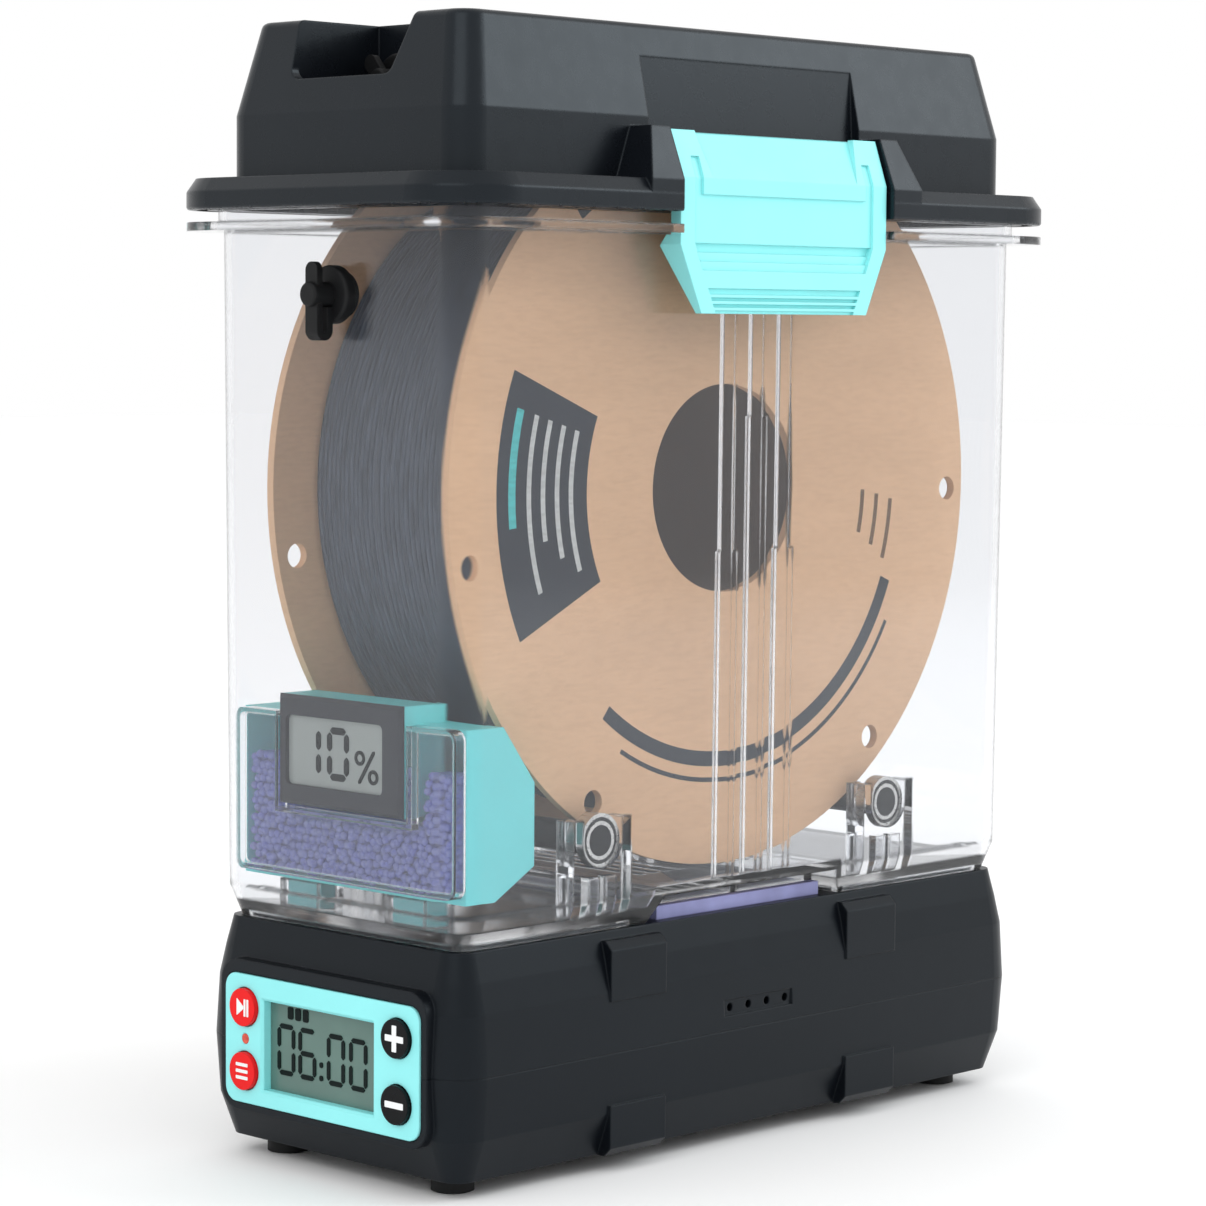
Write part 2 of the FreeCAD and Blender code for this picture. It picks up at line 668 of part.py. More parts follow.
def vent_rim():
    """A clear wall round both sets of vent slots, from the tunnel's roof down to the seal."""
    drawn_in = (SEAL_WALL - VENT_RIM_WALL) / 2
    half_x = SEAL_HALF_X - drawn_in
    half_y = TUNNEL_HALF - SEAL_END_GAP - drawn_in
    low = DECK_Z + SEAL_RISE + VENT_RIM_GAP
    high = TUNNEL_Z + FLOOR_THICK / 2
    rim = block(-half_x, half_x, -half_y, half_y, low, high)
    inner_x = half_x - VENT_RIM_WALL
    inner_y = half_y - VENT_RIM_WALL
    rooms = [block(-inner_x, inner_x, VENT_RIM_WALL / 2, inner_y, low, TUNNEL_Z),
             block(-inner_x, inner_x, -inner_y, -VENT_RIM_WALL / 2, low, TUNNEL_Z)]
    return rim.cut(rooms)


def dock_feet():
    top = V(0, 0, LOWER_Z + FOOT_SEAT)
    return group([rod(FOOT_DIAMETER / 2, place, place + top) for place in foot_places()])


def dock_screws():
    screws = []
    seat = LOWER_Z + DOCK_WALL
    for place in screw_places():
        head = rod(SCREW_HEAD / 2, place + V(0, 0, seat), place + V(0, 0, seat + SCREW_HEAD_THICK))
        shank = rod(SCREW_DIAMETER / 2, place + V(0, 0, seat), place + V(0, 0, SEAM_Z + SCREW_BITE))
        screws.append(head.fuse(shank).removeSplitter())
    return group(screws)


def button_places():
    return {
        "start_button": V(PANEL_X - BUTTON_X, 0, PANEL_Z + BUTTON_RISE),
        "mode_button": V(PANEL_X - BUTTON_X, 0, PANEL_Z - BUTTON_RISE),
        "plus_button": V(PANEL_X + BUTTON_X, 0, PANEL_Z + BUTTON_RISE),
        "minus_button": V(PANEL_X + BUTTON_X, 0, PANEL_Z - BUTTON_RISE),
    }


def panel_bezel():
    bezel = front_plate(PANEL_WIDTH / 2, PANEL_HEIGHT / 2, PANEL_CORNER, PANEL_X, PANEL_Z, PANEL_FRONT,
                        PANEL_BACK)
    half_x = LCD_WINDOW_WIDTH / 2
    half_z = LCD_WINDOW_HEIGHT / 2
    cuts = [block(LCD_X - half_x, LCD_X + half_x, 2 * FRONT_Y, 0, LCD_Z - half_z, LCD_Z + half_z)]
    mouth = tapered([(-PANEL_FRONT - WINDOW_CHAMFER, half_x, half_z, WINDOW_CHAMFER / 2),
                     (-PANEL_FRONT, half_x + WINDOW_CHAMFER, half_z + WINDOW_CHAMFER, WINDOW_CHAMFER)])
    mouth.rotate(V(0, 0, 0), V(1, 0, 0), 90)
    mouth.translate(V(LCD_X, 0, LCD_Z))
    cuts.append(mouth)
    for place in button_places().values():
        radius = BUTTON_DIAMETER / 2 + BUTTON_CLEARANCE
        cuts.append(rod(radius, place + V(0, 2 * FRONT_Y, 0), place))
    lamp = V(PANEL_X - BUTTON_X, 0, PANEL_Z)
    cuts.append(rod(LIGHT_PIPE / 2 + JACK_FIT, lamp + V(0, 2 * FRONT_Y, 0), lamp))
    return bezel.cut(cuts)


def lcd_glass():
    half_x = LCD_WINDOW_WIDTH / 2 + LCD_MARGIN
    half_z = LCD_WINDOW_HEIGHT / 2 + LCD_MARGIN
    return block(LCD_X - half_x, LCD_X + half_x, PANEL_BACK, PANEL_BACK + LCD_GLASS, LCD_Z - half_z,
                 LCD_Z + half_z)


def lcd_frame():
    half_x = LCD_WINDOW_WIDTH / 2 + LCD_MARGIN
    half_z = LCD_WINDOW_HEIGHT / 2 + LCD_MARGIN
    return block(LCD_X - half_x, LCD_X + half_x, PANEL_BACK + LCD_GLASS, BOARD_Y, LCD_Z - half_z,
                 LCD_Z + half_z)


def panel_button(place):
    """A cap that stands out of the bezel, a collar behind it and a stem to the switch."""
    front = PANEL_FRONT - BUTTON_PROUD
    collar = PANEL_BACK + BUTTON_SEAT_GAP
    stem_end = BOARD_Y - SWITCH_HEIGHT - BUTTON_TRAVEL - BUTTON_SEAT_GAP
    cap = rod(BUTTON_DIAMETER / 2, place + V(0, front, 0), place + V(0, collar, 0))
    ring = rod(BUTTON_DIAMETER / 2 + BUTTON_COLLAR, place + V(0, collar, 0),
               place + V(0, collar + BUTTON_COLLAR_THICK, 0))
    stem = rod(BUTTON_STEM / 2, place + V(0, collar, 0), place + V(0, stem_end, 0))
    return fuse([cap, ring, stem])


def tact_switches():
    half = SWITCH_SIZE / 2
    made = []
    for place in button_places().values():
        made.append(block(place.x - half, place.x + half, BOARD_Y - SWITCH_HEIGHT, BOARD_Y,
                          place.z - half, place.z + half))
    return group(made)


def light_pipe():
    place = V(PANEL_X - BUTTON_X, 0, PANEL_Z)
    return rod(LIGHT_PIPE / 2, place + V(0, PANEL_FRONT, 0), place + V(0, BOARD_Y, 0))


def control_board():
    half_x = PANEL_WIDTH / 2 - BOARD_MARGIN
    return block(PANEL_X - half_x, PANEL_X + half_x, BOARD_Y, BOARD_Y + BOARD_THICK, board_bottom(),
                 PANEL_Z + PANEL_HEIGHT / 2 - BOARD_MARGIN)


def heater_duct():
    """A box under the supply opening, open at the top, fed through its +Y side by the blower."""
    y0 = DUCT_START
    y1 = DUCT_START + DUCT_LENGTH
    top = DECK_Z - DOCK_WALL
    duct = block(-DUCT_HALF_X, DUCT_HALF_X, y0, y1, duct_z(), top)
    half = DUCT_HALF_X - DUCT_WALL
    room = block(-half, half, y0 + DUCT_WALL, y1 - DUCT_WALL, duct_z() + DUCT_WALL, top)
    low = blower_z() + BLOWER_WALL
    inlet = block(-BLOWER_OUTLET / 2, BLOWER_OUTLET / 2, y1 - 2 * DUCT_WALL, y1 + DUCT_WALL,
                  low, blower_z() + BLOWER_HEIGHT - BLOWER_WALL)
    return duct.cut([room, inlet])


def heater_core():
    """A block of upright fins between two side bars, on ledges of its own at the duct walls."""
    half = DUCT_HALF_X - DUCT_WALL - HEATER_SIDE_GAP
    y0 = DUCT_START + DUCT_WALL + HEATER_SIDE_GAP
    y1 = deck_openings()[1][1]
    top = DECK_Z - DOCK_WALL - HEATER_SIDE_GAP
    low = top - HEATER_THICK
    fins = [block(-half, half, y0, y0 + DUCT_WALL, low, top),
            block(-half, half, y1 - DUCT_WALL, y1, low, top)]
    for index in range(HEATER_FINS):
        x = -half + index * (2 * half - HEATER_FIN_THICK) / (HEATER_FINS - 1)
        fins.append(block(x, x + HEATER_FIN_THICK, y0, y1, low, top))
    return fuse(fins)


def blower_housing():
    half = BLOWER_SIZE / 2
    y = blower_y()
    z0 = blower_z()
    z1 = z0 + BLOWER_HEIGHT
    case = block(-half, half, y - half, y + half, z0, z1)
    case = case.makeFillet(BLOWER_WALL, [e for e in case.Edges if abs(e.Vertexes[0].Z - e.Vertexes[1].Z) > 1])
    middle = V(0, y, 0)
    room = rod(half - BLOWER_WALL, middle + V(0, 0, z0 + BLOWER_WALL), middle + V(0, 0, z1 - BLOWER_WALL))
    intake = rod(BLOWER_INTAKE / 2, middle + V(0, 0, z0), middle + V(0, 0, z1 + 1))
    floor = rod(BLOWER_INTAKE, middle + V(0, 0, z0 - 1), middle + V(0, 0, z0 + BLOWER_WALL))
    outlet = block(-BLOWER_OUTLET / 2, BLOWER_OUTLET / 2, y - half - 1, y, z0 + BLOWER_WALL, z1 - BLOWER_WALL)
    shaft_hole = rod(SHAFT_DIAMETER / 2 + SHAFT_CLEARANCE, middle + V(0, 0, z0 - 1), middle + V(0, 0, z1))
    return case.cut([room, intake.cut(floor), outlet, shaft_hole])


def blower_rotor():
    """A drum of blades on a disc, with its shaft in the housing's floor."""
    middle = V(0, blower_y(), 0)
    z0 = blower_z() + BLOWER_WALL + ROTOR_GAP
    z1 = blower_z() + BLOWER_HEIGHT - BLOWER_WALL - ROTOR_GAP
    radius = ROTOR_DIAMETER / 2
    pieces = [rod(radius, middle + V(0, 0, z0), middle + V(0, 0, z0 + BLOWER_WALL)),
              rod(ROTOR_HUB / 2, middle + V(0, 0, z0), middle + V(0, 0, z1)),
              rod(SHAFT_DIAMETER / 2, middle + V(0, 0, blower_z()), middle + V(0, 0, z1))]
    half = ROTOR_BLADE_THICK / 2
    for index in range(ROTOR_BLADES):
        blade = block(radius - ROTOR_BLADE_DEPTH, radius - half, -half, half, z0, z1)
        blade.rotate(V(0, 0, 0), V(0, 0, 1), 360.0 * index / ROTOR_BLADES)
        blade.translate(middle)
        pieces.append(blade)
    return fuse(pieces)


def power_jack():
    """A round panel jack through the rear wall, with a collar outside."""
    place = V(JACK_X, 0, LOWER_Z + JACK_RISE)
    outside = DOCK_Y - LOWER_BAND_INSET * (SEAM_Z - place.z) / (LOWER_SHELL_HEIGHT - LOWER_CHAMFER_HEIGHT)
    body = rod(JACK_BODY / 2, place + V(0, outside - JACK_LENGTH, 0), place + V(0, outside + JACK_COLLAR, 0))
    collar = rod(JACK_BODY / 2 + JACK_COLLAR, place + V(0, outside + LOWER_BAND_INSET / 2, 0),
                 place + V(0, outside + JACK_COLLAR, 0))
    bore = rod(JACK_BORE / 2, place + V(0, outside - JACK_LENGTH / 2, 0),
               place + V(0, outside + 2 * JACK_COLLAR, 0))
    return body.fuse(collar).removeSplitter().cut(bore)


def box_levels(inset):
    return [(DECK_Z, BASE_X - SKIRT_INSET - inset, BASE_Y - SKIRT_INSET - inset, BOX_CORNER - SKIRT_INSET - inset),
            (SKIRT_Z, BASE_X - inset, BASE_Y - inset, BOX_CORNER - inset),
            (FLANGE_Z, BOX_X - inset, BOX_Y - inset, BOX_CORNER - inset)]


def clear_box():
    outer = tapered(box_levels(0))
    plate = rounded_block(RIM_X, RIM_Y, RIM_CORNER, FLANGE_Z, FLANGE_TOP)
    lip = rounded_block(LIP_X, LIP_Y, LIP_CORNER, FLANGE_Z, LIP_TOP)
    lip_in = LIP_THICK - LIP_PROUD
    mouth = rounded_block(BOX_X - lip_in, BOX_Y - lip_in, BOX_CORNER - lip_in, FLANGE_TOP, LIP_TOP + 1)
    throat = rounded_block(BOX_X - BOX_WALL, BOX_Y - BOX_WALL, BOX_CORNER - BOX_WALL, FLANGE_Z, FLANGE_TOP)
    box = fuse([outer, plate, lip]).cut([mouth, throat])
    cavity = tapered([(FLOOR_Z, BASE_X - SKIRT_INSET, BASE_Y - SKIRT_INSET, BOX_CORNER - SKIRT_INSET),
                      (SKIRT_Z + BOX_WALL / 2, BASE_X - BOX_WALL, BASE_Y - BOX_WALL, BOX_CORNER - BOX_WALL),
                      (FLANGE_Z, BOX_X - BOX_WALL, BOX_Y - BOX_WALL, BOX_CORNER - BOX_WALL)])
    wide = TUNNEL_HALF + FLOOR_THICK
    plateau = prism_x([(-wide - TUNNEL_SPLAY, DECK_Z), (-wide, PLATEAU_Z), (wide, PLATEAU_Z),
                       (wide + TUNNEL_SPLAY, DECK_Z)], -2 * BOX_X, 2 * BOX_X)
    tunnel = prism_x([(-TUNNEL_HALF - TUNNEL_SPLAY, DECK_Z), (-TUNNEL_HALF, TUNNEL_Z),
                      (TUNNEL_HALF, TUNNEL_Z),
                      (TUNNEL_HALF + TUNNEL_SPLAY, DECK_Z)], -2 * BOX_X, 2 * BOX_X)
    box = box.cut([cavity.cut(plateau), tunnel])
    side = locator_half_x()
    cuts = [block(-side, side, low, high, DECK_Z, DECK_Z + FLOOR_LIFT) for low, high in locator_ends()]
    for sign in (-1, 1):
        for index in range(VENT_SLOTS):
            y = sign * (VENT_FIRST + index * VENT_PITCH)
            cuts.append(block(-VENT_LENGTH / 2, VENT_LENGTH / 2, y - VENT_WIDTH / 2, y + VENT_WIDTH / 2,
                              DECK_Z, PLATEAU_Z + 1))
        notch = block(NOTCH_X, 2 * RIM_X, -BAY_HALF, BAY_HALF, FLANGE_Z, FLANGE_TOP)
        cuts.append(notch if sign > 0 else mirror_x(notch))
    front_port = port_place()
    cuts.append(rod(PORT_NECK / 2, front_port + V(0, -BOX_Y, 0), front_port + V(0, BOX_WALL + BOX_DRAFT, 0)))
    adds = wall_ribs() + leg_sockets() + [vent_rim()]
    for sign in (-1, 1):
        adds += [bearing_seat(sign), mirror_x(bearing_seat(sign))]
    return box.cut(cuts).multiFuse(adds)


def wall_ribs():
    """Three stepped ribs inside each long wall, from the raised floor to the flange."""
    ribs = []
    outside = BASE_X - BOX_WALL / 2
    for index in (-1, 0, 1):
        y = index * RIB_PITCH
        step_top = PLATEAU_Z + (RIB_STEP_Z if index else MIDDLE_STEP_Z)
        for half, proud, top in ((RIB_WIDTH / 2, RIB_PROUD, FLANGE_Z - BOX_WALL),
                                 (RIB_STEP_WIDTH / 2, RIB_STEP_PROUD, step_top)):
            foot_x = BOX_X - BOX_WALL - wall_inset(PLATEAU_Z) - proud
            top_x = BOX_X - BOX_WALL - wall_inset(top) - proud
            back = outside
            profile = [(foot_x, PLATEAU_Z - FLOOR_THICK / 2), (back, PLATEAU_Z - FLOOR_THICK / 2),
                       (back, top), (top_x, top)]
            rib = prism_y(profile, y - half, y + half)
            ribs += [rib, mirror_x(rib)]
    return ribs


def bearing_face():
    """X of a bearing's outer face, on the +X side."""
    return BOX_X - BOX_WALL - wall_inset(ROLLER_Z) - BEARING_WALL_GAP


def bearing_seat(sign):
    """A post on each side of a bearing, a saddle under it and a lip towards the spool."""
    y = sign * ROLLER_Y
    wide = BEARING_OUTER / 2 + SADDLE_CLEARANCE
    half = wide + POST_THICK
    out_x = BASE_X - BOX_WALL / 2
    in_x = bearing_face() - BEARING_WIDTH - SADDLE_SIDE_GAP
    lip_x = in_x - SADDLE_LIP
    top = ROLLER_Z + POST_OVER_AXIS
    seat = block(lip_x, out_x, y - half, y + half, FLOOR_Z - FLOOR_THICK / 2, top)
    bore = rod(wide, V(in_x, y, ROLLER_Z), V(out_x, y, ROLLER_Z))
    bore = bore.fuse(block(in_x, out_x, y - wide, y + wide, ROLLER_Z, top))
    gate = ROD_R + SADDLE_CLEARANCE + POST_THICK / 2
    rod_way = rod(gate, V(lip_x, y, ROLLER_Z), V(in_x, y, ROLLER_Z))
    rod_way = rod_way.fuse(block(lip_x, in_x, y - gate, y + gate, ROLLER_Z, top))
    cuts = [bore, rod_way]
    pocket = wide - 1.5 * SADDLE_WEB
    pocket_top = ROLLER_Z - wide - SADDLE_WEB
    for side in (-1, 1):
        y0, y1 = sorted((y + side * SADDLE_WEB / 2, y + side * (SADDLE_WEB / 2 + pocket)))
        cuts.append(block(in_x, out_x, y0, y1, FLOOR_Z, pocket_top))
    return seat.cut(cuts).common(tapered(box_levels(BOX_WALL / 2)))


def roller_rod(sign):
    y = sign * ROLLER_Y
    reach = bearing_face()
    return rod(ROD_R - BEARING_FIT, V(-reach, y, ROLLER_Z), V(reach, y, ROLLER_Z))


def ring(outer, inner, x0, x1, y):
    body = rod(outer, V(x0, y, ROLLER_Z), V(x1, y, ROLLER_Z))
    return body.cut(rod(inner, V(x0, y, ROLLER_Z), V(x1, y, ROLLER_Z)))


def race_pair(outer, inner, x0, x1, y):
    near = ring(outer, inner, x0, x1, y)
    return [near, mirror_x(near)]


def outer_races():
    x1 = bearing_face()
    made = []
    for sign in (-1, 1):
        made += race_pair(BEARING_OUTER / 2, BEARING_OUTER / 2 - RACE_THICK, x1 - BEARING_WIDTH, x1,
                          sign * ROLLER_Y)
    return group(made)


def inner_races(sign):
    x1 = bearing_face()
    return group(race_pair(ROD_R + RACE_THICK, ROD_R, x1 - BEARING_WIDTH, x1, sign * ROLLER_Y))


def bearing_shields():
    x1 = bearing_face() - SHIELD_THICK
    made = []
    inner = ROD_R + RACE_THICK + SADDLE_CLEARANCE
    for sign in (-1, 1):
        for x0 in (x1 - SHIELD_THICK, x1 - BEARING_WIDTH + 2 * SHIELD_THICK):
            made += race_pair(BEARING_OUTER / 2 - RACE_THICK, inner, x0, x0 + SHIELD_THICK, sign * ROLLER_Y)
    return group(made)


def port_place():
    """Centre of the front port, on the outer face of the front wall."""
    z = FLANGE_Z - FRONT_PORT_BELOW_FLANGE
    return V(FRONT_PORT_X, wall_inset(z) - BOX_Y, z)


def lid_port_place():
    return V(LID_PORT_X, pocket_rear(), TOP_Z - LID_PORT_BELOW_TOP)


def port_grommet(place, wall, lean):
    """Rubber disc outside, neck and flange inside, bored along Y; the wall leans so far over half a disc."""
    disc = rod(PORT_DISC / 2, place + V(0, -PORT_DISC_THICK, 0), place + V(0, -lean, 0))
    front = place.y - PORT_DISC_EDGE
    disc = disc.makeFillet(PORT_DISC_EDGE, [e for e in disc.Edges if e.BoundBox.YMax < front])
    neck = rod(PORT_NECK / 2, place + V(0, -lean, 0), place + V(0, wall + lean, 0))
    back = rod(PORT_INNER_FLANGE / 2, place + V(0, wall + lean, 0), place + V(0, wall + PORT_INNER_THICK, 0))
    bore = rod(PORT_BORE / 2, place + V(0, -2 * PORT_DISC_THICK, 0), place + V(0, 4 * wall, 0))
    return fuse([disc, neck, back]).cut(bore)


def port_stopper(place, wall):
    """A pin in the bore, a knob outside, a tab above and a folded strap below."""
    front = place.y - STOPPER_REACH
    strap_y = place.y - PORT_DISC_THICK - STOPPER_LOOP_GAP - 2 * STOPPER_STRAP_THICK
    seat_y = place.y - PORT_DISC_THICK
    pin = rod(PORT_BORE / 2 - STOPPER_PIN_CLEARANCE, V(place.x, seat_y, place.z), place + V(0, wall, 0))
    knob = rod(STOPPER_KNOB / 2, V(place.x, front, place.z), V(place.x, seat_y, place.z))
    rim = front + STOPPER_KNOB_EDGE
    knob = knob.makeFillet(STOPPER_KNOB_EDGE, [e for e in knob.Edges if e.BoundBox.YMax < rim])
    half = STOPPER_STRAP / 2
    x0 = place.x - half
    x1 = place.x + half

    def strip(y0, y1, low, high):
        return block(x0, x1, y0, y1, low, high)

    tab_y = strap_y + STOPPER_STRAP_THICK
    up = place.z + STOPPER_TAB_UP - half
    down = place.z - STOPPER_LOOP_DOWN + half
    tab = strip(strap_y, tab_y, place.z, up).fuse(rod(half, V(place.x, strap_y, up), V(place.x, tab_y, up)))
    leg = strip(strap_y, tab_y, down, place.z)
    back_y = tab_y + STOPPER_LOOP_GAP
    back_leg = strip(back_y, back_y + STOPPER_STRAP_THICK, down, place.z - STOPPER_KNOB / 2)
    middle = (strap_y + back_y + STOPPER_STRAP_THICK) / 2
    bend_r = (back_y + STOPPER_STRAP_THICK - strap_y) / 2
    bend = rod(bend_r, V(x0, middle, down), V(x1, middle, down))
    bend = bend.cut(rod(STOPPER_LOOP_GAP / 2, V(x0, middle, down), V(x1, middle, down)))
    bend = bend.cut(block(x0, x1, middle - bend_r, middle + bend_r, down, down + bend_r))
    return fuse([pin, knob, tab, leg, bend, back_leg])


def container_front():
    """Y of the teal body's open front face."""
    return COVER_WALL_GAP + COVER_DEPTH + COVER_SEAT_GAP - (BOX_Y - BOX_WALL - wall_inset(FLOOR_Z))


def container_profile(inset):
    """Side outline of the container in Y and Z, drawn in by a wall thickness."""
    y0 = container_front()
    y1 = y0 + CONTAINER_DEPTH - inset
    low = FLOOR_Z + CONTAINER_LIFT + inset
    high = FLOOR_Z + CONTAINER_LIFT + CONTAINER_HEIGHT - inset
    return [(y0, low), (y1 - CONTAINER_LOW_CHAMFER_Y + inset / 2, low),
            (y1, low + CONTAINER_LOW_CHAMFER_Z - inset / 2),
            (y1, high - CONTAINER_TOP_CHAMFER_Z + inset / 2),
            (y1 - CONTAINER_TOP_CHAMFER_Y + inset / 2, high), (y0, high)]


def meter_box(grow, y0, y1):
    """A block that stands so far past the hygrometer's bezel on all four sides."""
    half = METER_WIDTH / 2 + grow
    low = meter_bottom() - grow
    return block(-half, half, y0, y1, low, meter_bottom() + METER_HEIGHT + grow)


def meter_bottom():
    return FLOOR_Z + CONTAINER_LIFT + METER_BOTTOM_RISE


def meter_front():
    return METER_FRONT_GAP - (BOX_Y - BOX_WALL - wall_inset(FLOOR_Z))


def meter_housing(gap):
    """The teal sleeve round the hygrometer's case, or the room that it takes with a gap round it."""
    grow = METER_FIT + METER_HOUSING_WALL + gap
    return meter_box(grow - METER_BEZEL, cover_front() + COVER_WALL / 2, meter_front() + METER_DEPTH + grow)


def cover_front():
    return container_front() - COVER_SEAT_GAP - COVER_DEPTH


def container_body():
    outer = prism_x(container_profile(0), -CONTAINER_HALF, CONTAINER_HALF)
    inner_half = CONTAINER_HALF - CONTAINER_WALL
    room = prism_x(container_profile(CONTAINER_WALL), -inner_half, inner_half)
    legs = []
    for x in (-LEG_X, LEG_X):
        y0 = container_front() + LEG_SETBACK
        legs.append(block(x - LEG_WIDTH / 2, x + LEG_WIDTH / 2, y0, y0 + LEG_DEPTH,
                          FLOOR_Z + SOCKET_CLEARANCE, FLOOR_Z + CONTAINER_LIFT + CONTAINER_WALL / 2))
    body = outer.cut(room.cut(meter_housing(0))).multiFuse([meter_housing(0)] + legs)
    pocket = meter_box(METER_FIT - METER_BEZEL, 2 * FRONT_Y, meter_front() + METER_DEPTH + METER_FIT)
    return body.cut(pocket)


def container_cover():
    """A clear tray over the container's open front, U-shaped round the hygrometer housing."""
    y0 = cover_front()
    y1 = y0 + COVER_DEPTH
    low = FLOOR_Z + CONTAINER_LIFT + COVER_BOTTOM_RISE
    high = FLOOR_Z + CONTAINER_LIFT + CONTAINER_HEIGHT
    half_z = (high - low) / 2
    middle = (high + low) / 2
    plate = front_plate(CONTAINER_HALF, half_z, COVER_CORNER, 0, middle, y0, y1)
    half = METER_WIDTH / 2 + COVER_NOTCH_GAP
    notch_low = meter_bottom() - COVER_NOTCH_GAP
    notch = block(-half, half, y0, y1, notch_low, high)
    room = front_plate(CONTAINER_HALF - COVER_WALL, half_z - COVER_WALL, COVER_CORNER - COVER_WALL, 0, middle,
                       y0 + COVER_WALL, y1)
    kept = block(-half - COVER_WALL, half + COVER_WALL, y0, y1, notch_low - COVER_WALL, high)
    return plate.cut(room.cut(kept)).cut(notch)


def desiccant_beads():
    inset = CONTAINER_WALL + BEAD_CLEARANCE
    half = CONTAINER_HALF - inset
    fill = prism_x(container_profile(inset), -half, half)
    level = FLOOR_Z + CONTAINER_LIFT + CONTAINER_HEIGHT - BEAD_LEVEL
    above = block(-2 * half, 2 * half, 2 * FRONT_Y, 0, level, 2 * level)
    return fill.cut([meter_housing(BEAD_CLEARANCE), above])


def meter_case():
    y0 = meter_front()
    bezel = meter_box(0, y0, y0 + METER_BEZEL_THICK)
    bezel = bezel.makeChamfer(METER_EDGE, [e for e in bezel.Edges if e.BoundBox.YMax < y0 + METER_EDGE])
    case = bezel.fuse(meter_box(-METER_BEZEL, y0 + METER_BEZEL_THICK, y0 + METER_DEPTH))
    room = meter_box(-METER_BEZEL - METER_WALL, y0 + METER_WINDOW_DEPTH + METER_LCD_THICK, y0 + METER_DEPTH)
    middle = meter_bottom() + METER_HEIGHT / 2
    window = front_plate(METER_WINDOW_WIDTH / 2, METER_WINDOW_HEIGHT / 2, METER_WALL, METER_WINDOW_SHIFT,
                         middle, y0, y0 + METER_WINDOW_DEPTH)
    half_x = METER_WINDOW_WIDTH / 2 + METER_LCD_MARGIN
    half_z = METER_WINDOW_HEIGHT / 2 + METER_LCD_MARGIN
    seat = block(METER_WINDOW_SHIFT - half_x, METER_WINDOW_SHIFT + half_x, y0 + METER_WINDOW_DEPTH,
                 y0 + METER_WINDOW_DEPTH + METER_LCD_THICK, middle - half_z, middle + half_z)
    return case.cut([room, window, seat])


def meter_lcd():
    y0 = meter_front() + METER_WINDOW_DEPTH
    middle = meter_bottom() + METER_HEIGHT / 2
    half_x = METER_WINDOW_WIDTH / 2 + METER_LCD_MARGIN
    half_z = METER_WINDOW_HEIGHT / 2 + METER_LCD_MARGIN
    return block(METER_WINDOW_SHIFT - half_x, METER_WINDOW_SHIFT + half_x, y0, y0 + METER_LCD_THICK,
                 middle - half_z, middle + half_z)


def meter_board():
    y0 = meter_front() + METER_WINDOW_DEPTH + METER_LCD_THICK
    return meter_box(-METER_BEZEL - METER_WALL - METER_BOARD_GAP, y0, y0 + BOARD_THICK)


def meter_cells():
    y0 = meter_front() + METER_WINDOW_DEPTH + METER_LCD_THICK + BOARD_THICK
    middle = meter_bottom() + METER_HEIGHT / 2
    return group([rod(CELL_DIAMETER / 2, V(x, y0, middle), V(x, y0 + CELL_THICK, middle))
                  for x in (-CELL_X, CELL_X)])


def leg_sockets():
    """Clear cups on the box floor that hold the container's legs."""
    cups = []
    grow = SOCKET_CLEARANCE + SOCKET_WALL
    top = FLOOR_Z + CONTAINER_LIFT - SOCKET_CLEARANCE
    y0 = container_front() + LEG_SETBACK
    for x in (-LEG_X, LEG_X):
        cup = block(x - LEG_WIDTH / 2 - grow, x + LEG_WIDTH / 2 + grow, y0 - grow, y0 + LEG_DEPTH + grow,
                    FLOOR_Z - FLOOR_THICK / 2, top)
        gap = SOCKET_CLEARANCE
        half = LEG_WIDTH / 2 + gap
        room = block(x - half, x + half, y0 - gap, y0 + LEG_DEPTH + gap, FLOOR_Z, top)
        cups.append(cup.cut(room))
    return cups


def spool_flange(x0):
    x1 = x0 + FLANGE_BOARD
    disc = rod(SPOOL_R, V(x0, 0, AXIS_Z), V(x1, 0, AXIS_Z))
    cuts = [rod(SPOOL_BORE / 2, V(x0, 0, AXIS_Z), V(x1, 0, AXIS_Z))]
    reach = SPOOL_R - SPOOL_HOLE_EDGE
    for turn in SPOOL_HOLE_ANGLES:
        y = reach * math.cos(math.radians(turn))
        z = AXIS_Z + reach * math.sin(math.radians(turn))
        cuts.append(rod(SPOOL_HOLE_DIAMETER / 2, V(x0, y, z), V(x1, y, z)))
    return disc.cut(cuts)


def spool_tube(outer, inner):
    half = SPOOL_WIDTH / 2 - FLANGE_BOARD
    body = rod(outer, V(-half, 0, AXIS_Z), V(half, 0, AXIS_Z))
    return body.cut(rod(inner, V(-half, 0, AXIS_Z), V(half, 0, AXIS_Z)))


def spool_core():
    return spool_tube(SPOOL_BORE / 2 + CORE_BOARD, SPOOL_BORE / 2)


def winding_radius():
    """Radius of the filament's centre line in the outer layer."""
    return SPOOL_R - PACK_DEPTH - FILAMENT / 2


def filament_pack():
    return spool_tube(winding_radius() - FILAMENT / 2 - WINDING_SEAT, SPOOL_BORE / 2 + CORE_BOARD)


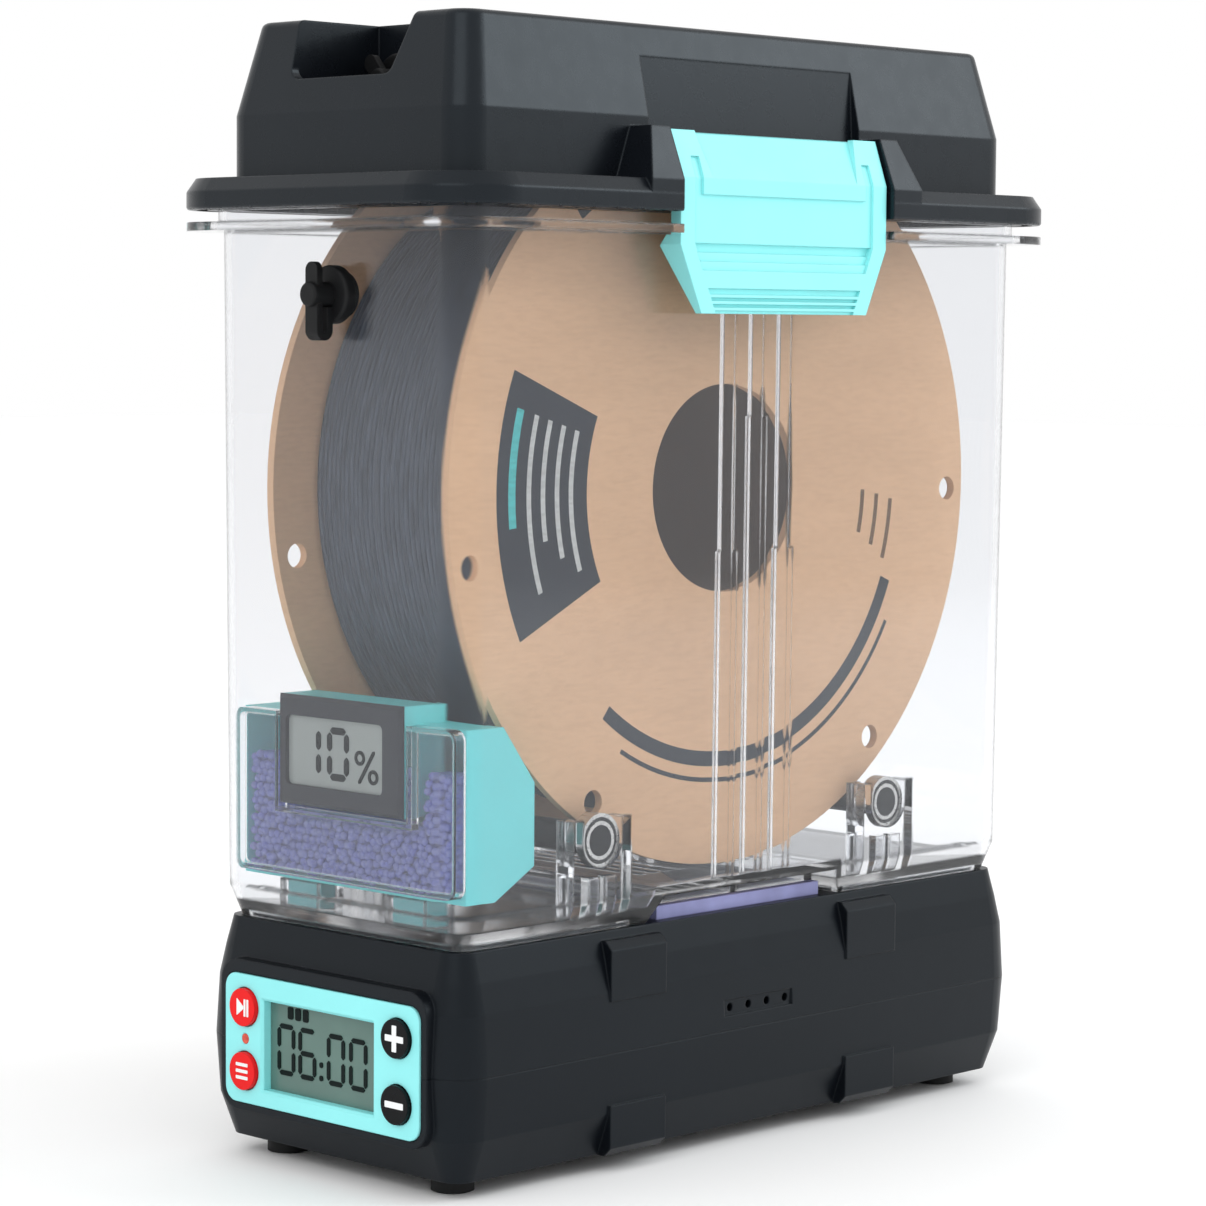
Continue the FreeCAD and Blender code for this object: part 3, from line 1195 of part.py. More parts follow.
def biarc(p0, t0, p1, t1):
    """Two arcs from p0 to p1 that leave along t0 and arrive along t1."""
    span = p1 - p0
    both = t0 + t1
    slack = 2 * (1 - t0.dot(t1))
    reach = (-span.dot(both) + math.sqrt(span.dot(both) ** 2 + slack * span.dot(span))) / slack
    corner0 = p0 + t0 * reach
    corner1 = p1 - t1 * reach
    joint = (corner0 + corner1) * 0.5
    edges = []
    for start, corner, end in ((p0, corner0, joint), (joint, corner1, p1)):
        chord = (start + end) * 0.5
        rise = corner - chord
        lean = math.atan2(rise.Length, (end - start).Length / 2)
        middle = chord + rise * (math.tan(lean / 2) / math.tan(lean))
        edges.append(Part.Arc(start, middle, end).toShape())
    return edges


def filament_winding():
    """The outer layer: one unbroken turn after another, from flange to flange."""
    radius = winding_radius()
    half = SPOOL_WIDTH / 2 - FLANGE_BOARD - WINDING_END_GAP - FILAMENT / 2
    pitch = 2 * half / WINDING_LOOPS
    climb = pitch / (2 * math.pi)

    def place(turn):
        angle = 2 * math.pi * turn
        return V(-half + pitch * turn, radius * math.cos(angle), AXIS_Z + radius * math.sin(angle))

    def heading(turn):
        angle = 2 * math.pi * turn
        way = V(climb, -radius * math.sin(angle), radius * math.cos(angle))
        return way.normalize()

    edges = [Part.LineSegment(place(0) - heading(0) * FILAMENT, place(0)).toShape()]
    steps = 2 * WINDING_LOOPS
    for index in range(steps):
        a = index / 2
        b = (index + 1) / 2
        edges += biarc(place(a), heading(a), place(b), heading(b))
    last = place(WINDING_LOOPS)
    edges.append(Part.LineSegment(last, last + heading(WINDING_LOOPS) * FILAMENT).toShape())
    path = Part.Wire(edges)
    section = Part.Wire([Part.Circle(place(0) - heading(0) * FILAMENT, heading(0), FILAMENT / 2).toShape()])
    tube = path.makePipeShell([section], True, False)
    points = path.discretize(Number=WINDING_LOOPS * 48)
    least = pitch
    for index, point in enumerate(points):
        for other in points[index + 24:index + 96]:
            least = min(least, point.distanceToPoint(other))
    print("winding: least gap to itself", round(least - FILAMENT, 3))
    expected = math.pi * FILAMENT ** 2 / 4 * path.Length
    print("winding: volume over section times length", round(tube.Volume / expected, 4))
    return tube


def pocket_rear():
    return POCKET_LENGTH - (CROWN_Y - CROWN_SLOPE_INSET)


def pocket_outline(grow, floor):
    """Outline of the lid pocket in X and Z, open above the crown."""
    over = CROWN_SLOPE_HEIGHT
    lean = POCKET_RIGHT_SPLAY / POCKET_SILL_DEPTH
    low = TOP_Z - floor - grow
    right_low = POCKET_RIGHT + grow + lean * (POCKET_SILL_DEPTH - floor)
    right_high = right_low + lean * (floor + grow + over)
    return [(POCKET_LEFT - grow, low), (right_low, low), (right_high, TOP_Z + over),
            (POCKET_LEFT - grow, TOP_Z + over)]


def pocket_room(floor, y0, y1):
    """The hollow of the lid pocket down to a floor, with its lower corners rounded."""
    room = prism_y(pocket_outline(0, floor), y0, y1)
    low = TOP_Z - floor
    corners = [e for e in room.Edges if e.BoundBox.ZMax < low + 1 and e.BoundBox.YLength > (y1 - y0) / 2]
    return room.makeFillet(POCKET_ROUND, corners)


def bay_outline(grow, low, high):
    """The leaning back wall of a latch bay in X and Z, open outwards."""
    return [(CROWN_X - BAY_FOOT_INSET - grow, low), (CROWN_X - BAY_HEAD_INSET - grow, high),
            (2 * RIM_X, high), (2 * RIM_X, low)]


def level_edges(shape, z):
    """The edges of a shape that lie flat at height z."""
    return [e for e in shape.Edges if abs(e.BoundBox.ZMin - z) < 0.01 and abs(e.BoundBox.ZMax - z) < 0.01]


def lid_shell():
    rim = tapered([(RIM_Z, RIM_X, RIM_Y, RIM_CORNER), (RIM_Z + RIM_BAND, RIM_X, RIM_Y, RIM_CORNER),
                   (RIM_TOP, RIM_X - RIM_CHAMFER_INSET, RIM_Y - RIM_CHAMFER_INSET, RIM_CORNER - RIM_CHAMFER_INSET)])
    rim = rim.makeFillet(RIM_EDGE, level_edges(rim, RIM_Z) + level_edges(rim, RIM_Z + RIM_BAND))
    crown = tapered(crown_levels(0, RIM_Z))
    crown = crown.makeFillet(CROWN_EDGE, level_edges(crown, TOP_Z))
    ears = [ear(sign) for sign in (-1, 1)]
    ears += [mirror_x(part) for part in ears]
    outer = fuse([rim, crown] + ears)
    cavity = tapered(crown_levels(LID_WALL, RIM_Z))
    bay_top = CROWN_BREAK + CROWN_BAY_RISE
    side = BAY_HALF + LID_WALL
    keep = prism_y(bay_outline(LID_WALL, RIM_Z, bay_top + LID_WALL), -side, side)
    pocket_keep = prism_y(pocket_outline(LID_WALL, POCKET_DEPTH), -2 * RIM_Y, pocket_rear() + LID_WALL)
    pocket_keep = pocket_keep.cut(block(-RIM_X, RIM_X, -2 * RIM_Y, 0, 0, TOP_Z - POCKET_DEPTH - LID_WALL))
    cavity = cavity.cut([keep, mirror_x(keep), pocket_keep])
    bay = prism_y(bay_outline(0, RIM_TOP, bay_top), -BAY_HALF, BAY_HALF)
    slot = block(latch_inner() - LATCH_BACK_GAP, 2 * RIM_X, -BAY_HALF, BAY_HALF, RIM_Z, bay_top)
    front = LID_WALL + POCKET_LIP - CROWN_Y
    pocket = pocket_room(POCKET_DEPTH, front, pocket_rear())
    sill = pocket_room(POCKET_SILL_DEPTH, -2 * RIM_Y, front)
    port = lid_port_place()
    bore = rod(PORT_NECK / 2, port + V(0, -LID_WALL / 2, 0), port + V(0, LID_WALL, 0))
    pins = [pin_bore(), mirror_x(pin_bore())]
    cuts = [cavity, bay, mirror_x(bay), slot, mirror_x(slot), pocket, sill, bore, rim_hollow(), seal_groove()]
    return outer.cut(cuts).cut(pins)


def crown_levels(inset, low):
    return [(low, CROWN_X - inset, CROWN_Y - inset, CROWN_CORNER - inset),
            (CROWN_BREAK, CROWN_X - inset, CROWN_Y - inset, CROWN_CORNER - inset),
            (TOP_Z - inset, CROWN_X - CROWN_SLOPE_INSET - inset, CROWN_Y - CROWN_SLOPE_INSET - inset,
             CROWN_TOP_CORNER - inset)]


def rim_hollow():
    """The hollow under the rim, between its skirt and the seal's seat, closed off at the latches."""
    top = RIM_TOP - LID_WALL
    outside = rounded_block(RIM_X - LID_WALL, RIM_Y - LID_WALL, RIM_CORNER - LID_WALL, RIM_Z, top)
    seat = LIP_PROUD + SEAL_SIDE_GAP + LID_WALL
    inside = rounded_block(BOX_X + seat, BOX_Y + seat, BOX_CORNER + seat, RIM_Z, top)
    side = BAY_HALF + LID_WALL
    solid = block(-2 * RIM_X, 2 * RIM_X, -side, side, RIM_Z, top)
    return outside.cut([inside, solid])


def seal_ring(gap, z0, z1):
    """A ring over the box's lip, wider than the lip by a gap on each side."""
    outside = rounded_block(LIP_X + gap, LIP_Y + gap, LIP_CORNER + gap, z0, z1)
    shrink = LIP_THICK + gap
    inside = rounded_block(LIP_X - shrink, LIP_Y - shrink, LIP_CORNER - shrink, z0, z1)
    return outside.cut(inside)


def seal_groove():
    return seal_ring(SEAL_SIDE_GAP, RIM_Z, LIP_TOP + SEAL_HEIGHT)


def lid_seal():
    return seal_ring(0, LIP_TOP, LIP_TOP + SEAL_HEIGHT)


def ear(sign):
    """A lug that carries one end of a latch pin, wider at its foot."""
    y = sign * BAY_HALF
    top = PIVOT_Z + EAR_RISE
    root = CROWN_X - LID_WALL / 2

    def outline(width, x, z):
        far = y + sign * width
        return Part.makePolygon([V(root, y, z), V(x, y, z), V(x, far, z), V(root, far, z), V(root, y, z)])

    low = RIM_Z + RIM_BAND
    return Part.makeLoft([outline(EAR_BASE, RIM_X, low), outline(EAR_BASE, RIM_X, RIM_TOP),
                          outline(EAR_TOP, RIM_X - EAR_TOP_INSET, top)], True, True)


def pin_bore():
    reach = BAY_HALF + PIN_IN_EAR + PIN_CLEARANCE
    return rod(PIN_DIAMETER / 2 + PIN_CLEARANCE / 2, V(PIVOT_X, -reach, PIVOT_Z), V(PIVOT_X, reach, PIVOT_Z))


def latch_pin():
    reach = BAY_HALF + PIN_IN_EAR
    return rod(PIN_DIAMETER / 2, V(PIVOT_X, -reach, PIVOT_Z), V(PIVOT_X, reach, PIVOT_Z))


def latch_face():
    return RIM_X - LATCH_INSET


def latch_inner():
    return latch_face() - LATCH_PLATE


def latch_half(z):
    """Half the latch's width at height z: straight sides above, drawn in below."""
    start = FLANGE_Z - LATCH_TAPER_DROP
    return LATCH_HALF - LATCH_TAPER * max(0, start - z) / (LATCH_DROP - LATCH_TAPER_DROP)


def latch_band(z0, z1, border, depth):
    """A cut in the latch's face from z0 to z1 that follows its sides at a border's width."""
    low = latch_half(z0) - border
    high = latch_half(z1) - border
    return prism_x([(-low, z0), (low, z0), (high, z1), (-high, z1)], latch_face() - depth, 2 * RIM_X)


def latch_cuts():
    """The sunk panel, its two side strips, the scoop above, the finger steps and the grip zone below."""
    face = latch_face()
    shoulder = RIM_TOP + LATCH_SHOULDER_RISE
    top = PIVOT_Z + LATCH_HEAD
    head_x = RIM_X - LATCH_HEAD_INSET
    low = FLANGE_Z - LATCH_DROP
    step_z = FLANGE_Z - FINGER_STEP_DROP
    panel_top = RIM_Z + RIM_BAND
    cuts = [latch_band(step_z, panel_top, PANEL_BORDER, PANEL_RECESS)]
    for index in range(FINGER_STEPS):
        z1 = step_z - index * FINGER_STEP_PITCH
        depth = FINGER_STEP_DEPTH * (FINGER_STEPS - index) / FINGER_STEPS
        cuts.append(latch_band(z1 - FINGER_STEP_PITCH, z1, PANEL_BORDER, depth))
    strip_top = shoulder + PANEL_STRIP_RISE
    lean = (face - head_x) / (top - shoulder)
    strip_x = face - PANEL_RECESS
    strip = [(strip_x, panel_top), (2 * RIM_X, panel_top), (2 * RIM_X, strip_top),
             (strip_x - lean * PANEL_STRIP_RISE, strip_top), (strip_x, shoulder)]
    outer = LATCH_HALF - PANEL_BORDER
    inner = outer - PANEL_STRIP_WIDTH
    cuts += [prism_y(strip, inner, outer), prism_y(strip, -outer, -inner)]

    def scoop_wire(half, x, z):
        return Part.makePolygon([V(x, -half, z), V(2 * RIM_X, -half, z), V(2 * RIM_X, half, z), V(x, half, z),
                                 V(x, -half, z)])

    cuts.append(Part.makeLoft([scoop_wire(SCOOP_LOW_HALF, face, shoulder),
                               scoop_wire(SCOOP_TOP_HALF, head_x - SCOOP_DEPTH, top)], True, True))
    grip = latch_band(low, low + GRIP_ZONE, PANEL_BORDER, GRIP_ZONE_DEPTH)
    ribs = []
    for index in range(GRIP_RIBS):
        z = low + GRIP_HEIGHT + index * GRIP_PITCH
        ribs.append(block(0, 2 * RIM_X, -LATCH_HALF, LATCH_HALF, z, z + GRIP_HEIGHT))
    cuts.append(grip.cut(ribs))
    return cuts


def latch():
    """Barrel on the pin, plate down over the rim's edge and hook under the box's flange."""
    low = FLANGE_Z - LATCH_DROP
    hook_z = FLANGE_Z - HOOK_GAP
    tip_x = NOTCH_X - HOOK_ENGAGE
    ramp_x = NOTCH_X + HOOK_GAP / 2
    face = latch_face()
    inner = latch_inner()
    top = PIVOT_Z + LATCH_HEAD
    shoulder = RIM_TOP + LATCH_SHOULDER_RISE
    profile = [(face - LATCH_FOOT, low), (face, low), (face, shoulder), (RIM_X - LATCH_HEAD_INSET, top),
               (PIVOT_X, top), (PIVOT_X, PIVOT_Z), (inner, PIVOT_Z - LATCH_BARREL / 2), (inner, hook_z),
               (ramp_x, hook_z), (tip_x, hook_z - HOOK_RAMP)]
    body = prism_y(profile, -LATCH_HALF, LATCH_HALF)
    barrel = rod(LATCH_BARREL, V(PIVOT_X, -LATCH_HALF, PIVOT_Z), V(PIVOT_X, LATCH_HALF, PIVOT_Z))
    body = body.fuse(barrel).removeSplitter()
    cuts = [rod(PIN_DIAMETER / 2 + PIN_CLEARANCE, V(PIVOT_X, -RIM_Y, PIVOT_Z), V(PIVOT_X, RIM_Y, PIVOT_Z))]
    start = FLANGE_Z - LATCH_TAPER_DROP
    foot = latch_half(low)
    for side in (-1, 1):
        corner = [(side * LATCH_HALF, start), (side * 2 * LATCH_HALF, start), (side * 2 * LATCH_HALF, low),
                  (side * foot, low)]
        cuts.append(prism_x(corner, 0, 2 * RIM_X))
    return body.cut(cuts).cut(latch_cuts())


def build():
    front_port = port_place()
    lid_port = lid_port_place()
    port_lean = wall_inset(front_port.z - PORT_DISC / 2) - wall_inset(front_port.z)
    nodes = {
        "dock_lower_shell": dock_lower(),
        "dock_upper_shell": dock_upper(),
        "dock_feet": dock_feet(),
        "dock_screws": dock_screws(),
        "duct_seal": duct_seal(),
        "panel_bezel": panel_bezel(),
        "lcd_glass": lcd_glass(),
        "lcd_frame": lcd_frame(),
        "status_light_pipe": light_pipe(),
        "control_board": control_board(),
        "tact_switches": tact_switches(),
        "heater_duct": heater_duct(),
        "heater_core": heater_core(),
        "blower_housing": blower_housing(),
        "blower_rotor": blower_rotor(),
        "power_jack": power_jack(),
        "clear_box": clear_box(),
        "bearing_outer_races": outer_races(),
        "bearing_shields": bearing_shields(),
        "front_roller_rod": roller_rod(-1),
        "front_inner_races": inner_races(-1),
        "rear_roller_rod": roller_rod(1),
        "rear_inner_races": inner_races(1),
        "front_grommet": port_grommet(front_port, BOX_WALL, port_lean),
        "front_stopper": port_stopper(front_port, BOX_WALL),
        "container_body": container_body(),
        "container_cover": container_cover(),
        "desiccant_beads": desiccant_beads(),
        "hygrometer_case": meter_case(),
        "hygrometer_lcd": meter_lcd(),
        "hygrometer_board": meter_board(),
        "hygrometer_cells": meter_cells(),
        "spool_near_flange": spool_flange(SPOOL_WIDTH / 2 - FLANGE_BOARD),
        "spool_far_flange": spool_flange(-SPOOL_WIDTH / 2),
        "spool_core": spool_core(),
        "filament_pack": filament_pack(),
        "filament_winding": filament_winding(),
        "lid_shell": lid_shell(),
        "lid_seal": lid_seal(),
        "right_latch": latch(),
        "left_latch": mirror_x(latch()),
        "right_latch_pin": latch_pin(),
        "left_latch_pin": mirror_x(latch_pin()),
        "lid_grommet": port_grommet(lid_port, LID_WALL, 0),
        "lid_stopper": port_stopper(lid_port, LID_WALL).rotated(lid_port, V(0, 1, 0), LID_STOPPER_TURN),
    }
    for name, place in button_places().items():
        nodes[name] = panel_button(place)
    return nodes


def main():
    os.makedirs("parts", exist_ok=True)
    for name, shape in build().items():
        if not shape.isValid():
            print("not valid:", name)
        print(name, "solids", len(shape.Solids), "volume", round(shape.Volume / 1000, 2), "cm3")
        shape.exportStep("parts/" + name + ".step")


main()
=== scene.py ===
"""Looks of the filament dryer box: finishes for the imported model, and the pieces that dress it."""
import json
import math
import random

import bmesh
import bpy
from mathutils import Matrix, Vector


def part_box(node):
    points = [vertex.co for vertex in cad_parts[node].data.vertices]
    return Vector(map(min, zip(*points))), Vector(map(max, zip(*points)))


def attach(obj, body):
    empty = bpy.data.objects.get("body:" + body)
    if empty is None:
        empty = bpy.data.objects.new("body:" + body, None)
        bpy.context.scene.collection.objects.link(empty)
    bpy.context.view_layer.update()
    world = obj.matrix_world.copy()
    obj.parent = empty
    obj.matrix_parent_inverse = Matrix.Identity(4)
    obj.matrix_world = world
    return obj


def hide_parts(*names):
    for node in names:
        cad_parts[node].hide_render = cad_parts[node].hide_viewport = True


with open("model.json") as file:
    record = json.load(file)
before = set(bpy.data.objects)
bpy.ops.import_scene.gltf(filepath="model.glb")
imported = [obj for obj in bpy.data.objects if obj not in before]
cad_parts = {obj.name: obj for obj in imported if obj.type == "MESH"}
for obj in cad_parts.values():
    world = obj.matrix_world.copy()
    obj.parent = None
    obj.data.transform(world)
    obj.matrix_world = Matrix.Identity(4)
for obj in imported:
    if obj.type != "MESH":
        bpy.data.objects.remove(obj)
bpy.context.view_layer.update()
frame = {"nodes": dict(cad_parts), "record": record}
nodes = frame["nodes"]
MM = 0.001
QUARTER_TURN = math.pi / 2
WHITE = (1, 1, 1, 1)


# ---------------------------------------------------------------- finishes

def tone(r, g, b):
    """A colour as the eye sees it, 0 to 255, turned into the linear values that a shader takes."""
    def one(value):
        value = value / 255
        return value / 12.92 if value <= 0.04045 else ((value + 0.055) / 1.055) ** 2.4
    return (one(r), one(g), one(b), 1.0)


def shade(colour, k):
    return (colour[0] * k, colour[1] * k, colour[2] * k, 1.0)


class Finish:
    """A node material with a few plain building blocks."""

    def __init__(self, name):
        self.material = bpy.data.materials.new(name)
        self.material.use_nodes = True
        self.tree = self.material.node_tree
        self.surface = self.tree.nodes["Principled BSDF"]
        self.place = self.add("ShaderNodeTexCoord").outputs["Object"]

    def add(self, kind, **settings):
        node = self.tree.nodes.new(kind)
        for key, value in settings.items():
            setattr(node, key, value)
        return node

    def link(self, source, target):
        self.tree.links.new(source, target)

    def put(self, socket, value):
        self.surface.inputs[socket].default_value = value

    def stretched(self, x, y, z):
        """Places scaled by axis: a small factor draws a pattern out along that axis."""
        node = self.add("ShaderNodeMapping")
        node.inputs["Scale"].default_value = (x, y, z)
        self.link(self.place, node.inputs["Vector"])
        return node.outputs["Vector"]

    def noise(self, scale, detail=2.0, where=None):
        node = self.add("ShaderNodeTexNoise")
        node.inputs["Scale"].default_value = scale
        node.inputs["Detail"].default_value = detail
        self.link(where or self.place, node.inputs["Vector"])
        return node.outputs["Fac"]

    def blotch(self, source, dark, light, low=0.3, high=0.7):
        node = self.add("ShaderNodeValToRGB")
        node.color_ramp.elements[0].position = low
        node.color_ramp.elements[0].color = dark
        node.color_ramp.elements[1].position = high
        node.color_ramp.elements[1].color = light
        self.link(source, node.inputs["Fac"])
        return node.outputs["Color"]

    def spread(self, source, low, high, start=0.0, end=1.0):
        node = self.add("ShaderNodeMapRange")
        node.inputs["From Min"].default_value = start
        node.inputs["From Max"].default_value = end
        node.inputs["To Min"].default_value = low
        node.inputs["To Max"].default_value = high
        self.link(source, node.inputs["Value"])
        return node.outputs["Result"]

    def soft_edge(self, radius):
        node = self.add("ShaderNodeBevel", samples=4)
        node.inputs["Radius"].default_value = radius
        return node.outputs["Normal"]

    def bump(self, height, strength, depth, under=None):
        node = self.add("ShaderNodeBump")
        node.inputs["Strength"].default_value = strength
        node.inputs["Distance"].default_value = depth
        self.link(height, node.inputs["Height"])
        if under is not None:
            self.link(under, node.inputs["Normal"])
        return node.outputs["Normal"]

    def colour_from(self, source):
        self.link(source, self.surface.inputs["Base Color"])

    def rough_from(self, source):
        self.link(source, self.surface.inputs["Roughness"])

    def normal_from(self, source):
        self.link(source, self.surface.inputs["Normal"])


def moulded(name, colour, rough, grain=0.5, edge=0.5, sheen=0.5, change=0.12, tint=WHITE):
    """Moulded plastic: a fine spark-eroded grain, slow changes of tone and softened edges.

    The size of the grain and the radius of the edges are in millimetres.
    """
    uneven = 0.06
    f = Finish(name)
    dark, light = shade(colour, 1 - change), shade(colour, 1 + change)
    f.colour_from(f.blotch(f.noise(28, detail=4), dark, light))
    f.rough_from(f.spread(f.noise(160, detail=3), rough - uneven, rough + uneven))
    f.put("Specular IOR Level", sheen)
    f.put("Specular Tint", tint)
    f.normal_from(f.bump(f.noise(1000 / grain), strength=0.25, depth=0.06 * MM,
                         under=f.soft_edge(edge * MM)))
    return f.material


def clear_plastic(name, colour, haze, edge, foot_z=None):
    """Clear moulded plastic: a faint haze, a slow flow ripple and softened edges.

    Below foot_z the surface turns matt.
    """
    foot_fade = 8 * MM
    foot_rough = 0.22
    f = Finish(name)
    f.put("Base Color", colour)
    f.put("Transmission Weight", 1 - haze)
    f.put("IOR", 1.49)
    f.put("Specular Tint", (0.5, 0.52, 0.56, 1))
    rough = f.spread(f.noise(40), 0.0, 0.02)
    if foot_z is not None:
        height = f.add("ShaderNodeSeparateXYZ")
        f.link(f.place, height.inputs["Vector"])
        total = f.add("ShaderNodeMath", operation="ADD")
        f.link(rough, total.inputs[0])
        matt = f.spread(height.outputs["Z"], foot_rough, 0.0, start=foot_z - foot_fade, end=foot_z)
        f.link(matt, total.inputs[1])
        rough = total.outputs["Value"]
    f.rough_from(rough)
    f.normal_from(f.bump(f.noise(22, detail=1), strength=0.04, depth=0.4 * MM,
                         under=f.soft_edge(edge * MM)))
    return f.material


def rubber(name, colour):
    f = Finish(name)
    f.colour_from(f.blotch(f.noise(60, detail=3), shade(colour, 0.8), shade(colour, 1.2)))
    f.rough_from(f.spread(f.noise(220), 0.5, 0.68))
    f.put("Specular IOR Level", 0.25)
    f.normal_from(f.bump(f.noise(2600), strength=0.3, depth=0.08 * MM,
                         under=f.soft_edge(0.4 * MM)))
    return f.material


def turned_metal(name, colour, rough, draw):
    """Ground or drawn metal, its fine lines drawn out along the axis with the small factor."""
    f = Finish(name)
    f.put("Metallic", 1.0)
    lines = f.noise(900, detail=3, where=f.stretched(*draw))
    f.colour_from(f.blotch(lines, shade(colour, 0.75), colour))
    f.rough_from(f.spread(lines, rough - 0.08, rough + 0.1))
    f.normal_from(f.bump(lines, strength=0.12, depth=0.03 * MM, under=f.soft_edge(0.2 * MM)))
    return f.material


def fibre_of(f):
    """Fine fibres that lie along the sheet."""
    return f.noise(1100, detail=5, where=f.stretched(1, 0.22, 1))


def kraft_board(name, colour):
    """Kraft board: a fine fibre grain along the sheet, dark flecks and slow changes of tone."""
    f = Finish(name)
    fibre = fibre_of(f)
    slow = f.noise(35, detail=3, where=f.stretched(1, 0.5, 1.5))
    base = f.blotch(slow, shade(colour, 0.95), shade(colour, 1.03))
    flecks = f.noise(1900)
    for source, low, high, weakest in ((fibre, 0.3, 0.6, 0.9), (flecks, 0.24, 0.4, 0.78)):
        mix = f.add("ShaderNodeMix", data_type="RGBA", blend_type="MULTIPLY")
        mix.inputs["Factor"].default_value = 0.6
        f.link(base, mix.inputs["A"])
        stain = (weakest, weakest * 0.97, weakest * 0.94, 1)
        f.link(f.blotch(source, stain, WHITE, low, high), mix.inputs["B"])
        base = mix.outputs["Result"]
    f.colour_from(base)
    f.put("Roughness", 0.82)
    f.put("Specular IOR Level", 0.25)
    f.normal_from(f.bump(fibre, strength=0.2, depth=0.06 * MM, under=f.soft_edge(0.3 * MM)))
    return f.material


def ink(name, colour):
    """Print on board: the fibre shows through the ink a little."""
    f = Finish(name)
    fibre = fibre_of(f)
    f.colour_from(f.blotch(fibre, shade(colour, 0.84), shade(colour, 1.1)))
    f.put("Roughness", 0.6)
    f.put("Specular IOR Level", 0.3)
    f.normal_from(f.bump(fibre, strength=0.2, depth=0.05 * MM))
    return f.material


def strand(name, colour):
    """Fibre-filled filament: matt, with a faint streak along each turn."""
    f = Finish(name)
    streak = f.noise(300, detail=4, where=f.stretched(4, 0.4, 0.4))
    f.colour_from(f.blotch(streak, shade(colour, 0.7), shade(colour, 1.35)))
    f.rough_from(f.spread(f.noise(900), 0.42, 0.6))
    f.normal_from(f.bump(f.noise(3000), strength=0.25, depth=0.06 * MM))
    return f.material


def display(name, colour):
    """A reflective display: grey-green film, slightly cloudy, under gloss glass."""
    f = Finish(name)
    f.colour_from(f.blotch(f.noise(55, detail=3), shade(colour, 0.9), shade(colour, 1.08)))
    f.rough_from(f.spread(f.noise(300), 0.3, 0.4))
    f.put("Coat Weight", 0.15)
    f.put("Coat Roughness", 0.08)
    f.normal_from(f.bump(f.noise(4000, detail=1), strength=0.08, depth=0.03 * MM))
    return f.material


def lamp_red(name):
    f = Finish(name)
    f.colour_from(f.blotch(f.noise(900), tone(168, 46, 32), tone(206, 84, 60)))
    f.put("Roughness", 0.25)
    f.put("Emission Color", tone(255, 70, 30))
    f.put("Emission Strength", 0.12)
    return f.material


def bead_blue(name):
    """Drying beads, each a slightly different blue-violet."""
    f = Finish(name)
    f.colour_from(f.blotch(f.noise(330, detail=1), tone(148, 156, 250), tone(174, 182, 255),
                           low=0.35, high=0.65))
    f.rough_from(f.spread(f.noise(900), 0.4, 0.6))
    f.put("Specular IOR Level", 0.3)
    f.normal_from(f.bump(f.noise(2500), strength=0.15, depth=0.05 * MM))
    return f.material


